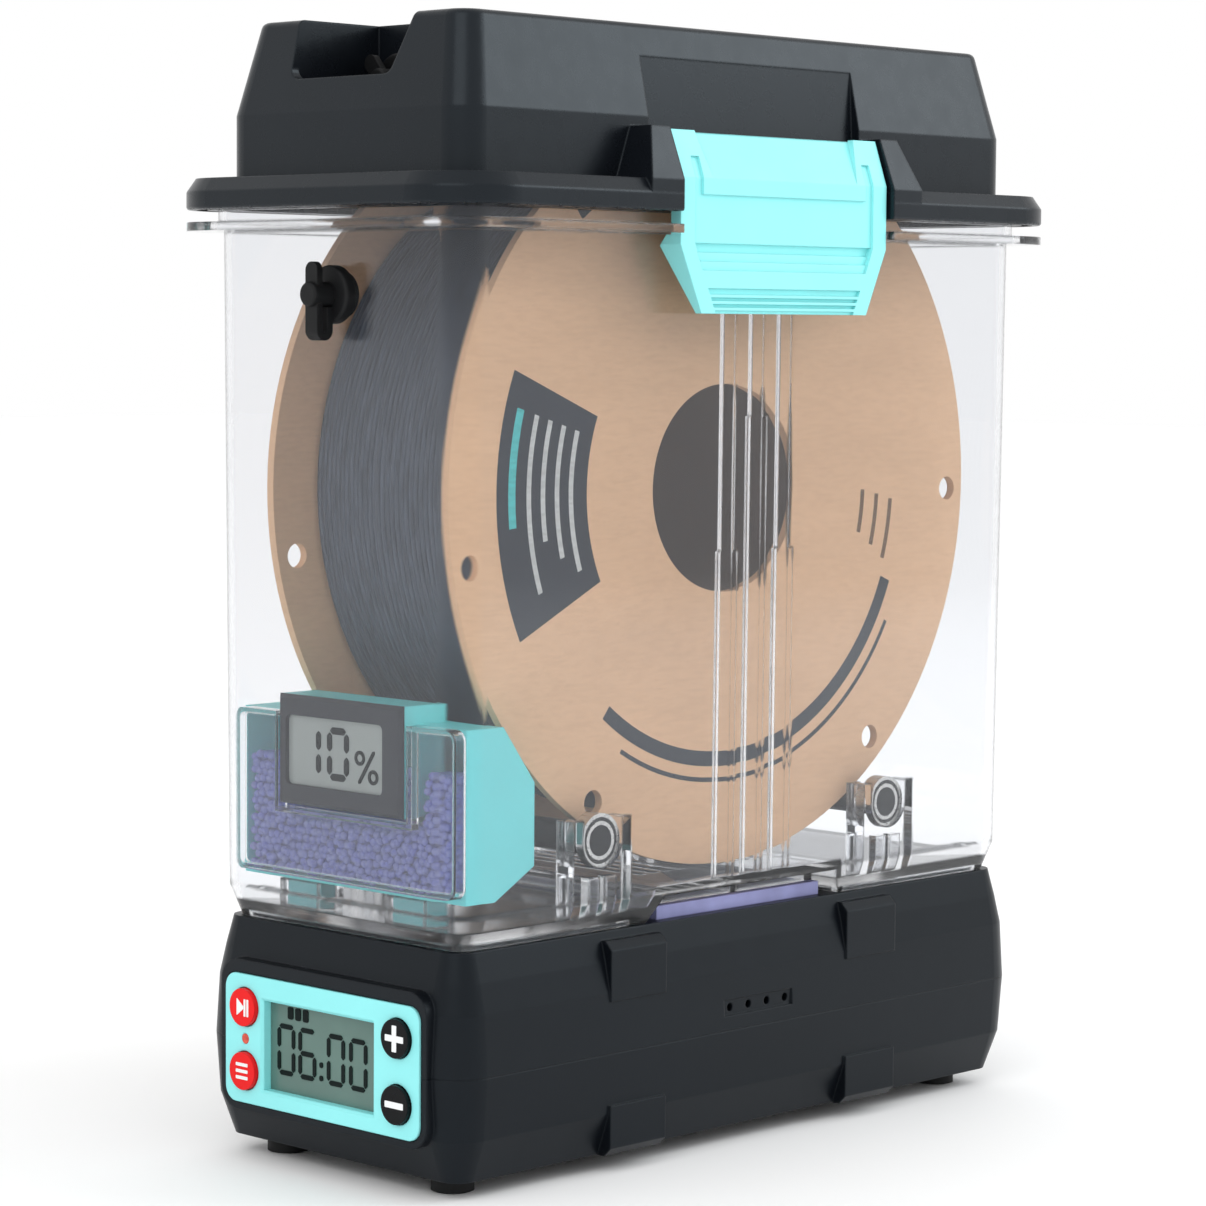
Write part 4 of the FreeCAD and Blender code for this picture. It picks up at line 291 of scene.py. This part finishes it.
COLD = (0.8, 0.92, 1.0, 1)
ALONG_X = (0.05, 1, 1)
ALONG_Z = (1, 1, 0.05)
clear_foot_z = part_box("container_body")[0].z + 4 * MM
finish = {
    "dock_black": moulded("dock black moulding", tone(12, 15, 20), rough=0.34, grain=0.45,
                          edge=0.7, sheen=0.2, tint=COLD),
    "lid_black": moulded("lid black moulding", tone(14, 17, 22), rough=0.28, grain=0.45,
                         edge=0.7, sheen=0.28, tint=COLD),
    "clear_plastic": clear_plastic("clear box plastic", (0.935, 0.943, 0.96, 1), haze=0.01,
                                   edge=1.2, foot_z=clear_foot_z),
    "cover_clear": clear_plastic("clear cover plastic", (0.97, 0.978, 0.985, 1), haze=0.008,
                                 edge=0.4),
    "teal_plastic": moulded("teal moulding", tone(144, 231, 232), rough=0.42, grain=0.6,
                            sheen=0.35, change=0.04),
    # A lighter copy of the teal moulding: painted light that makes up for the dimmer light inside
    # the clear box.
    "painted_light_teal": moulded("teal moulding with painted light", tone(138, 252, 254), rough=0.42, grain=0.6,
                              sheen=0.35, change=0.03),
    "red_key": moulded("red key moulding", tone(230, 24, 26), rough=0.3, grain=0.6, edge=0.4,
                       sheen=0.14, change=0.06),
    "black_key": moulded("black key moulding", tone(12, 13, 15), rough=0.28, grain=0.6, edge=0.4,
                         sheen=0.12),
    "screen_glass": display("panel display", tone(84, 113, 105)),
    "meter_glass": display("hygrometer display", tone(178, 186, 182)),
    "meter_grey": moulded("hygrometer grey moulding", tone(48, 52, 60), rough=0.42, edge=0.4,
                          sheen=0.3),
    "light_pipe": lamp_red("status lamp"),
    "board_green": moulded("board lacquer", tone(34, 88, 60), rough=0.35, grain=0.8, edge=0.2),
    "inner_black": moulded("inner black moulding", tone(22, 24, 26), rough=0.5, grain=0.6, edge=0.3,
                           sheen=0.3),
    "foot_rubber": rubber("foot rubber", tone(18, 19, 20)),
    "plug_rubber": rubber("stopper rubber", tone(10, 11, 13)),
    "seal_silicone": rubber("lavender seal", tone(148, 150, 196)),
    "steel": turned_metal("ground steel", tone(205, 204, 202), rough=0.28, draw=ALONG_X),
    "dark_steel": turned_metal("blackened rod steel", tone(36, 36, 38), rough=0.4, draw=ALONG_X),
    "shield_black": moulded("bearing shield black", tone(34, 34, 36), rough=0.45, grain=0.6,
                            edge=0.1, sheen=0.3),
    "aluminium": turned_metal("heater fins", tone(200, 202, 205), rough=0.35, draw=ALONG_Z),
    "cardboard": kraft_board("kraft board", tone(251, 207, 167)),
    # A darker copy of the kraft board: painted shade for the inside of the spool's core.
    "painted_shade_board": kraft_board("core board with painted shade", tone(112, 98, 88)),
    "filament": strand("dark filament", tone(82, 90, 103)),
    "beads": bead_blue("drying beads"),
    "print_dark": ink("dark print", tone(48, 54, 64)),
    "print_brown": ink("brown print", tone(126, 96, 72)),
    "print_pale": ink("pale print", tone(222, 224, 222)),
    "print_teal": ink("teal print", tone(92, 214, 214)),
    "segment_dark": moulded("display segment", tone(10, 22, 21), rough=0.5, grain=0.8, edge=0.05,
                            sheen=0.1),
    "sign_white": moulded("white sign", tone(236, 238, 238), rough=0.45, grain=0.8, edge=0.05,
                          change=0.03),
}

# Nodes that look different from the other nodes in their slot. The spool core's darker board is
# painted shade, and the container's lighter teal is painted light.
swapped = {
    "hygrometer_lcd": "meter_glass",
    "front_roller_rod": "dark_steel",
    "rear_roller_rod": "dark_steel",
    "bearing_shields": "shield_black",
    "spool_core": "painted_shade_board",
    "container_body": "painted_light_teal",
}
for row in frame["record"]["subparts"]:
    wanted = finish[swapped.get(row["node"], row["material_slot"])]
    for place in nodes[row["node"]].material_slots:
        place.material = wanted


# ---------------------------------------------------------------- modelling

def nothing_selected():
    bpy.ops.object.select_all(action="DESELECT")


def only(piece):
    """Selects one piece and makes it the active one."""
    nothing_selected()
    piece.select_set(True)
    bpy.context.view_layer.objects.active = piece


def settle(piece):
    """Puts a piece's place, turn and size into its mesh."""
    only(piece)
    bpy.ops.object.transform_apply(location=True, rotation=True, scale=True)
    return piece


def bar(name, low, high):
    """A block between two corners."""
    nothing_selected()
    low = Vector(low)
    high = Vector(high)
    bpy.ops.mesh.primitive_cube_add(size=1, location=(low + high) / 2)
    piece = bpy.context.object
    piece.name = name
    piece.scale = high - low
    return settle(piece)


def pick(piece, kind, chosen):
    """Edit mode with only the chosen points, edges or faces selected."""
    only(piece)
    bpy.ops.object.mode_set(mode="EDIT")
    bpy.ops.mesh.select_mode(type=kind)
    bpy.ops.mesh.select_all(action="DESELECT")
    mesh = bmesh.from_edit_mesh(piece.data)
    rows = {"VERT": mesh.verts, "EDGE": mesh.edges, "FACE": mesh.faces}[kind]
    for row in rows:
        row.select_set(bool(chosen(row)))
    mesh.select_flush_mode()
    bmesh.update_edit_mesh(piece.data)


def leave_edit():
    bpy.ops.object.mode_set(mode="OBJECT")


def every(row):
    return True


def close_up(piece):
    """Merged points and faces that look outwards."""
    pick(piece, "FACE", every)
    bpy.ops.mesh.remove_doubles(threshold=0.001 * MM)
    bpy.ops.mesh.select_all(action="SELECT")
    bpy.ops.mesh.normals_make_consistent(inside=False)
    leave_edit()


def along_y(edge):
    way = edge.verts[1].co - edge.verts[0].co
    return abs(way.y) > 0.99 * way.length


def round_corners(piece, radius, steps=2):
    """Rounds the edges that run along Y."""
    pick(piece, "EDGE", along_y)
    bpy.ops.mesh.bevel(offset=radius, segments=steps, affect="EDGES")
    leave_edit()


def copy_of(piece, name):
    twin = piece.copy()
    twin.data = piece.data.copy()
    twin.name = name
    bpy.context.scene.collection.objects.link(twin)
    return twin


def joined(name, pieces):
    nothing_selected()
    for piece in pieces:
        piece.select_set(True)
    whole = pieces[0]
    bpy.context.view_layer.objects.active = whole
    if len(pieces) > 1:
        bpy.ops.object.join()
    whole.name = name
    whole.data.name = name
    return settle(whole)


def dress(piece, material, body):
    piece.data.materials.clear()
    piece.data.materials.append(finish[material])
    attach(piece, body)


def modifier_done(piece, kind, **settings):
    only(piece)
    made = piece.modifiers.new(kind.lower(), kind)
    for key, value in settings.items():
        setattr(made, key, value)
    bpy.ops.object.modifier_apply(modifier=made.name)


# ---------------------------------------------------------------- filament on the spool

STRAND_R = 0.875 * MM
STRAND_SIDES = 8
STEPS_IN_A_TURN = 72
FLANGE_ROOM = 1.0 * MM
UNDER_TURNS = 33
OVER_TURNS = 19
OVER_LOOSER = 1.02
OVER_RISE = 1.55 * MM

core_low, core_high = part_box("spool_core")
axis_z = (core_low.z + core_high.z) / 2
wound_low, wound_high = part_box("filament_winding")
wound_r = (wound_high.y - wound_low.y) / 2 - STRAND_R
room_half = core_high.x - FLANGE_ROOM - STRAND_R


def wound_layer(name, start_x, pitch, turns, radius):
    """One unbroken strand: a ring of points carried round the spool's axis."""
    nothing_selected()
    bpy.ops.mesh.primitive_circle_add(vertices=STRAND_SIDES, radius=STRAND_R,
                                      location=(start_x, 0, axis_z))
    layer = bpy.context.object
    layer.name = name
    pick(layer, "VERT", every)
    bpy.ops.transform.translate(value=(0, radius, 0))
    leave_edit()
    modifier_done(layer, "SCREW", axis="X", angle=2 * math.pi, screw_offset=pitch,
                  iterations=turns, steps=STEPS_IN_A_TURN, render_steps=STEPS_IN_A_TURN,
                  use_smooth_shade=True)
    pick(layer, "EDGE", lambda edge: edge.is_boundary)
    bpy.ops.mesh.fill(use_beauty=True)
    leave_edit()
    close_up(layer)
    return settle(layer)


under_pitch = 2 * room_half / UNDER_TURNS
under = wound_layer("wound_under", -room_half, under_pitch, UNDER_TURNS, wound_r)
over = wound_layer("wound_over", room_half, -under_pitch * OVER_LOOSER, OVER_TURNS,
                   wound_r + OVER_RISE)
wound = joined("wound_filament", [under, over])
only(wound)
bpy.ops.object.shade_smooth()
dress(wound, "filament", "spool")
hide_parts("filament_winding")


# ---------------------------------------------------------------- drying beads

BEAD_R = 1.15 * MM
BEAD_JITTER = 0.45
METER_ROOM = 2.4 * MM
CORE_EDGE = 0.6 * MM
CORE_DEPTH = 9 * MM

bead_low, bead_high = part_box("desiccant_beads")
meter_low, meter_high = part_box("hygrometer_case")


def bead_model():
    """A small ball, a little flattened on top."""
    nothing_selected()
    bpy.ops.mesh.primitive_uv_sphere_add(segments=8, ring_count=6, radius=BEAD_R)
    bead = bpy.context.object
    bead.name = "bead"
    pick(bead, "VERT", lambda point: point.co.z > 0.5 * BEAD_R)
    bpy.ops.transform.translate(value=(0, 0, -0.12 * BEAD_R))
    leave_edit()
    bpy.ops.object.shade_smooth()
    return bead


def bead_has_room(x, z):
    """Clear of the hygrometer, and inside the fill's right and top ends."""
    margin = METER_ROOM + BEAD_R
    within = meter_low.x - margin < x < meter_high.x + margin
    if within and z > meter_low.z - margin:
        return False
    return x <= bead_high.x - BEAD_R and z <= bead_high.z - BEAD_R


def bead_fill():
    """Two layers of beads before a closed core of three blocks."""
    model = bead_model()
    chance = random.Random(7)
    step = 1.95 * BEAD_R
    row_step = 0.88 * step
    layer_step = 0.85 * step
    placed = []
    rows = int((bead_high.z - bead_low.z) / row_step)
    columns = int((bead_high.x - bead_low.x - 2 * BEAD_R) / step)
    for layer in range(2):
        for row in range(rows):
            for column in range(columns):
                x = bead_low.x + BEAD_R + (column + 0.5 * ((row + layer) % 2)) * step
                z = bead_low.z + BEAD_R + row * row_step
                y = bead_low.y + BEAD_R + layer * layer_step
                x += chance.uniform(-BEAD_JITTER, BEAD_JITTER) * BEAD_R
                z += chance.uniform(-BEAD_JITTER, BEAD_JITTER) * BEAD_R
                y += chance.uniform(0, 0.3) * BEAD_R
                if not bead_has_room(x, z):
                    continue
                bead = copy_of(model, "bead_copy")
                bead.location = (x, y, z)
                bead.rotation_euler = (chance.uniform(0, 3), chance.uniform(0, 3), 0)
                placed.append(bead)
    front = bead_low.y + 3.2 * BEAD_R
    back = bead_low.y + CORE_DEPTH
    left = bead_low.x + CORE_EDGE
    right = bead_high.x - CORE_EDGE
    foot = bead_low.z + CORE_EDGE
    top = bead_high.z - 1.2 * BEAD_R
    inner = meter_high.x + METER_ROOM
    placed.append(bar("core_low", (left, front, foot), (right, back, meter_low.z - METER_ROOM)))
    placed.append(bar("core_right", (inner, front, foot), (right, back, top)))
    placed.append(bar("core_left", (left, front, foot), (-inner, back, top)))
    whole = joined("bead_fill", placed)
    bpy.data.objects.remove(model)
    return whole


beads = bead_fill()
dress(beads, "beads", "box")
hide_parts("desiccant_beads")


# ---------------------------------------------------------------- display figures

LIT = {"0": "abcdef", "1": "bc", "6": "acdefg"}
FIGURE_DEPTH = 0.2 * MM
FIGURE_LIFT = 0.02 * MM


def segment(length, thick):
    """One display bar with pointed ends, lying along X."""
    half = Vector((length / 2, FIGURE_DEPTH / 2, thick / 2))
    piece = bar("segment", -half, half)
    round_corners(piece, 0.46 * thick, 1)
    return piece


def digit(figure, middle, wide, tall, thick):
    """The lit bars of one figure round its middle point."""
    made = []
    flat = segment(wide - 0.35 * thick, thick)
    upright = segment(tall / 2 - 0.25 * thick - 0.65 * MM, thick)
    right, high, centre = wide / 2, tall / 2, tall / 4
    places = {"a": (flat, 0, high), "g": (flat, 0, 0), "d": (flat, 0, -high),
              "b": (upright, right, centre), "c": (upright, right, -centre),
              "f": (upright, -right, centre), "e": (upright, -right, -centre)}
    for name in LIT[figure]:
        model, x, z = places[name]
        piece = copy_of(model, "bar_" + name)
        piece.location = middle + Vector((x, 0, z))
        piece.rotation_euler = (0, QUARTER_TURN if model == upright else 0, 0)
        made.append(piece)
    bpy.data.objects.remove(flat)
    bpy.data.objects.remove(upright)
    return made


def block_mark(name, left, foot, wide, tall, y, radius):
    """A small block with rounded corners on a display."""
    half = FIGURE_DEPTH / 2
    mark = bar(name, (left, y - half, foot), (left + wide, y + half, foot + tall))
    round_corners(mark, radius)
    return mark


def disc_ring(name, middle, outer, inner):
    """A flat ring that faces the front."""
    nothing_selected()
    bpy.ops.mesh.primitive_circle_add(vertices=24, radius=outer, location=middle,
                                      rotation=(QUARTER_TURN, 0, 0))
    piece = bpy.context.object
    piece.name = name
    settle(piece)
    pick(piece, "EDGE", every)
    bpy.ops.mesh.extrude_edges_move()
    bpy.ops.transform.resize(value=(inner / outer,) * 3, center_override=middle)
    leave_edit()
    modifier_done(piece, "SOLIDIFY", thickness=FIGURE_DEPTH, offset=0)
    close_up(piece)
    return piece


def display_middle(low, high):
    """The middle of a display's front, where the figures stand just proud of it."""
    y = low.y - FIGURE_DEPTH / 2 - FIGURE_LIFT
    return Vector(((low.x + high.x) / 2, y, (low.z + high.z) / 2))


def clock_digits():
    """Four figures, a colon and three heat marks."""
    middle = display_middle(*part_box("lcd_glass")) - Vector((0, 0, 0.6 * MM))
    x, y, z = middle
    made = []
    for figure, shift in (("0", -14.8), ("6", -6.7), ("0", 4.2), ("0", 12.6)):
        made += digit(figure, middle + Vector((shift * MM, 0, 0)), wide=5.5 * MM, tall=12 * MM,
                      thick=1.25 * MM)
    for rise in (-6.1, -2.7):
        made.append(block_mark("dot", x - 2.0 * MM, z + rise * MM, 1.3 * MM, 1.4 * MM, y,
                               0.45 * MM))
    for index in range(3):
        made.append(block_mark("heat_mark", x + (-14.2 + 2.9 * index) * MM, z + 8.1 * MM,
                               2.1 * MM, 3.2 * MM, y, 0.5 * MM))
    return joined("clock_digits", made)


def meter_digits():
    """Two figures and a percent sign."""
    middle = display_middle(*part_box("hygrometer_lcd"))

    def at(x, z=0.0):
        return middle + Vector((x * MM, 0, z * MM))

    tall, thick = 11.8 * MM, 1.8 * MM
    made = digit("1", at(-9.6), 5.6 * MM, tall, thick)
    made += digit("0", at(0.6), 6.4 * MM, tall, thick)
    for x, z in ((8.8, -0.2), (13.8, -4.7)):
        made.append(disc_ring("percent_ring", at(x, z), outer=1.9 * MM, inner=1.0 * MM))
    slash = segment(10.4 * MM, 1.0 * MM)
    slash.location = at(11.3, -2.4)
    slash.rotation_euler = (0, math.radians(-56), 0)
    made.append(slash)
    return joined("meter_digits", made)


dress(clock_digits(), "segment_dark", "dock")
dress(meter_digits(), "segment_dark", "box")


# ---------------------------------------------------------------- signs on the keys

SIGN_PROUD = 0.12 * MM
SIGN_SUNK = SIGN_PROUD / 2


def key_face(node):
    low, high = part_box(node)
    return Vector(((low.x + high.x) / 2, low.y, (low.z + high.z) / 2))


def sign_bar(middle, wide, tall, shift_x=0.0, shift_z=0.0):
    """A white bar on a key, its sizes and shifts in millimetres."""
    x = middle.x + shift_x * MM
    z = middle.z + shift_z * MM
    piece = bar("sign_bar", (x - wide * MM / 2, middle.y - SIGN_PROUD, z - tall * MM / 2),
                (x + wide * MM / 2, middle.y + SIGN_SUNK, z + tall * MM / 2))
    round_corners(piece, 0.12 * MM, 1)
    return piece


def play_sign(middle):
    """A triangle and two bars."""
    nothing_selected()
    place = middle + Vector((-0.95 * MM, (SIGN_SUNK - SIGN_PROUD) / 2, 0))
    bpy.ops.mesh.primitive_cylinder_add(vertices=3, radius=2.6 * MM, depth=SIGN_PROUD + SIGN_SUNK,
                                        rotation=(QUARTER_TURN, QUARTER_TURN, 0), location=place)
    arrow = settle(bpy.context.object)
    pick(arrow, "VERT", every)
    bpy.ops.transform.resize(value=(0.78, 1, 1), center_override=place)
    leave_edit()
    round_corners(arrow, 0.15 * MM, 1)
    bars = [sign_bar(middle, 0.7, 4.5, shift) for shift in (1.15, 2.25)]
    return joined("play_sign", [arrow] + bars)


def menu_sign(middle):
    return joined("menu_sign", [sign_bar(middle, 4.6, 0.85, 0, rise) for rise in (-1.7, 0, 1.7)])


def plus_sign(middle):
    """One long bar and two stubs, so that no faces lie in each other."""
    level = sign_bar(middle, 6.6, 1.6)
    stubs = [sign_bar(middle, 1.6, 2.5, 0, rise) for rise in (2.06, -2.06)]
    return joined("plus_sign", [level] + stubs)


def minus_sign(middle):
    return joined("minus_sign", [sign_bar(middle, 6.6, 1.6)])


dress(play_sign(key_face("start_button")), "sign_white", "start_key")
dress(menu_sign(key_face("mode_button")), "sign_white", "mode_key")
dress(plus_sign(key_face("plus_button")), "sign_white", "plus_key")
dress(minus_sign(key_face("minus_button")), "sign_white", "minus_key")


# ---------------------------------------------------------------- plain print on the spool

SHEET = 0.06 * MM
ON_CARD = 0.2
ON_LABEL = 1.6

print_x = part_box("spool_near_flange")[1].x


def print_sector(name, inner, outer, start, end, lift):
    """A thin sheet swept round the spool's axis.

    The radii are in millimetres, the angles in degrees from +Y towards +Z, and the lift above the
    card in thicknesses of a sheet.
    """
    nothing_selected()
    inner *= MM
    outer *= MM
    turn = math.radians(start)
    way = Vector((0, math.cos(turn), math.sin(turn)))
    side = Vector((1, 0, 0))
    bpy.ops.mesh.primitive_plane_add(size=1)
    piece = bpy.context.object
    piece.name = name
    square = Matrix((side, way, side.cross(way))).transposed().to_4x4()
    middle = Vector((print_x + (lift + 0.5) * SHEET, 0, axis_z)) + way * (inner + outer) / 2
    piece.matrix_world = Matrix.Translation(middle) @ square
    piece.scale = (SHEET * 0.9, outer - inner, 1)
    settle(piece)
    pick(piece, "FACE", every)
    bpy.ops.mesh.spin(steps=max(4, int(abs(end - start) / 3)), angle=math.radians(start - end),
                      center=(print_x, 0, axis_z), axis=(1, 0, 0))
    leave_edit()
    close_up(piece)
    return piece


dark_sheets = [print_sector("side_label", 52, 84, 158, 206, ON_CARD),
               print_sector("low_band", 70, 74, 232, 338, ON_CARD),
               print_sector("low_line", 77, 78.2, 240, 330, ON_CARD),
               print_sector("high_band", 88, 91, 66, 128, ON_CARD)]
dress(joined("spool_print_dark", dark_sheets), "print_dark", "spool")
pale_sheets = [print_sector("label_row", radius, radius + 1.6, 164, end, ON_LABEL)
               for radius, end in ((57, 200), (62, 195), (67, 190), (72, 200))]
dress(joined("spool_print_pale", pale_sheets), "print_pale", "spool")
brown_sheets = [print_sector("rule", radius, radius + 1.5, start, end, ON_CARD)
                for radius, start, end in ((56, 346, 358), (62, 344, 357), (68, 342, 356))]
dress(joined("spool_print_brown", brown_sheets), "print_brown", "spool")
teal_sheets = [print_sector("label_head", 77.5, 80, 164, 186, ON_LABEL)]
dress(joined("spool_print_teal", teal_sheets), "print_teal", "spool")


# ---------------------------------------------------------------- floor, light and camera

FLOOR_SIZE = 12
FLOOR_DROP = 0.2 * MM
FLOOR_WHITE = 0.98
SEEN_LEVEL = 1.0
LIGHT_LEVEL = 1.04


def floor():
    nothing_selected()
    bpy.ops.mesh.primitive_plane_add(size=FLOOR_SIZE, location=(0, 0, -FLOOR_DROP))
    sheet = bpy.context.object
    sheet.name = "floor"
    settle(sheet)
    f = Finish("pale floor")
    f.put("Base Color", shade(WHITE, FLOOR_WHITE))
    f.put("Roughness", 0.7)
    f.put("Specular IOR Level", 0.1)
    sheet.data.materials.append(f.material)


def studio_world():
    """White all round: plain to the eye, in gloss and in glass, a little brighter as a light."""
    world = bpy.data.worlds.new("studio")
    bpy.context.scene.world = world
    world.use_nodes = True
    tree = world.node_tree

    def maths(operation, first, second, clamp=False):
        node = tree.nodes.new("ShaderNodeMath")
        node.operation = operation
        node.use_clamp = clamp
        tree.links.new(first, node.inputs[0])
        tree.links.new(second, node.inputs[1])
        return node.outputs["Value"]

    sky = tree.nodes["Background"]
    sky.inputs["Color"].default_value = WHITE
    path = tree.nodes.new("ShaderNodeLightPath").outputs
    seen = path["Is Camera Ray"]
    for ray in ("Is Glossy Ray", "Is Transmission Ray"):
        seen = maths("MAXIMUM", seen, path[ray])
    seen = maths("SUBTRACT", seen, path["Diffuse Depth"], clamp=True)
    level = tree.nodes.new("ShaderNodeMapRange")
    level.inputs["To Min"].default_value = LIGHT_LEVEL
    level.inputs["To Max"].default_value = SEEN_LEVEL
    tree.links.new(seen, level.inputs["Value"])
    tree.links.new(level.outputs["Result"], sky.inputs["Strength"])


def soft_box(name, place, aim, size, power, colour=(1, 1, 1)):
    """A square lamp that looks from its place at its aim."""
    data = bpy.data.lights.new(name, "AREA")
    data.color = colour
    data.shape = "SQUARE"
    data.size = size
    data.energy = power
    lamp = bpy.data.objects.new(name, data)
    bpy.context.scene.collection.objects.link(lamp)
    lamp.location = place
    lamp.rotation_euler = (Vector(aim) - Vector(place)).to_track_quat("-Z", "Y").to_euler()


def photo_camera():
    """The camera stands at the photograph's own angle, height and distance."""
    turn = math.radians(44.16)
    rise = math.radians(4.34)
    roll = math.radians(0.41)
    aim = Vector((0, -0.01054, 0.1411))
    distance = 0.98979
    level = math.cos(rise)
    back = Vector((math.sin(turn) * level, -math.cos(turn) * level, math.sin(rise)))
    right = Vector((math.cos(turn), math.sin(turn), 0))
    up = back.cross(right)
    across = right * math.cos(roll) + up * math.sin(roll)
    upward = up * math.cos(roll) - right * math.sin(roll)
    data = bpy.data.cameras.new("photo")
    data.sensor_width = 36
    data.lens = 109.45
    data.clip_start = 10 * MM
    data.dof.use_dof = False
    camera = bpy.data.objects.new("photo", data)
    bpy.context.scene.collection.objects.link(camera)
    stand = Matrix((across, upward, back)).transposed().to_4x4()
    camera.matrix_world = Matrix.Translation(aim + back * distance) @ stand
    bpy.context.scene.camera = camera


floor()
studio_world()
soft_box("key light", (0.6, -1.3, 1.2), aim=(0, 0, 0.15), size=1.2, power=6)
soft_box("side light", (1.05, 1.15, 0.95), aim=(0, 0, 0.2), size=0.9, power=9,
         colour=(0.92, 0.97, 1))
photo_camera()
bpy.context.scene.view_settings.view_transform = "Standard"
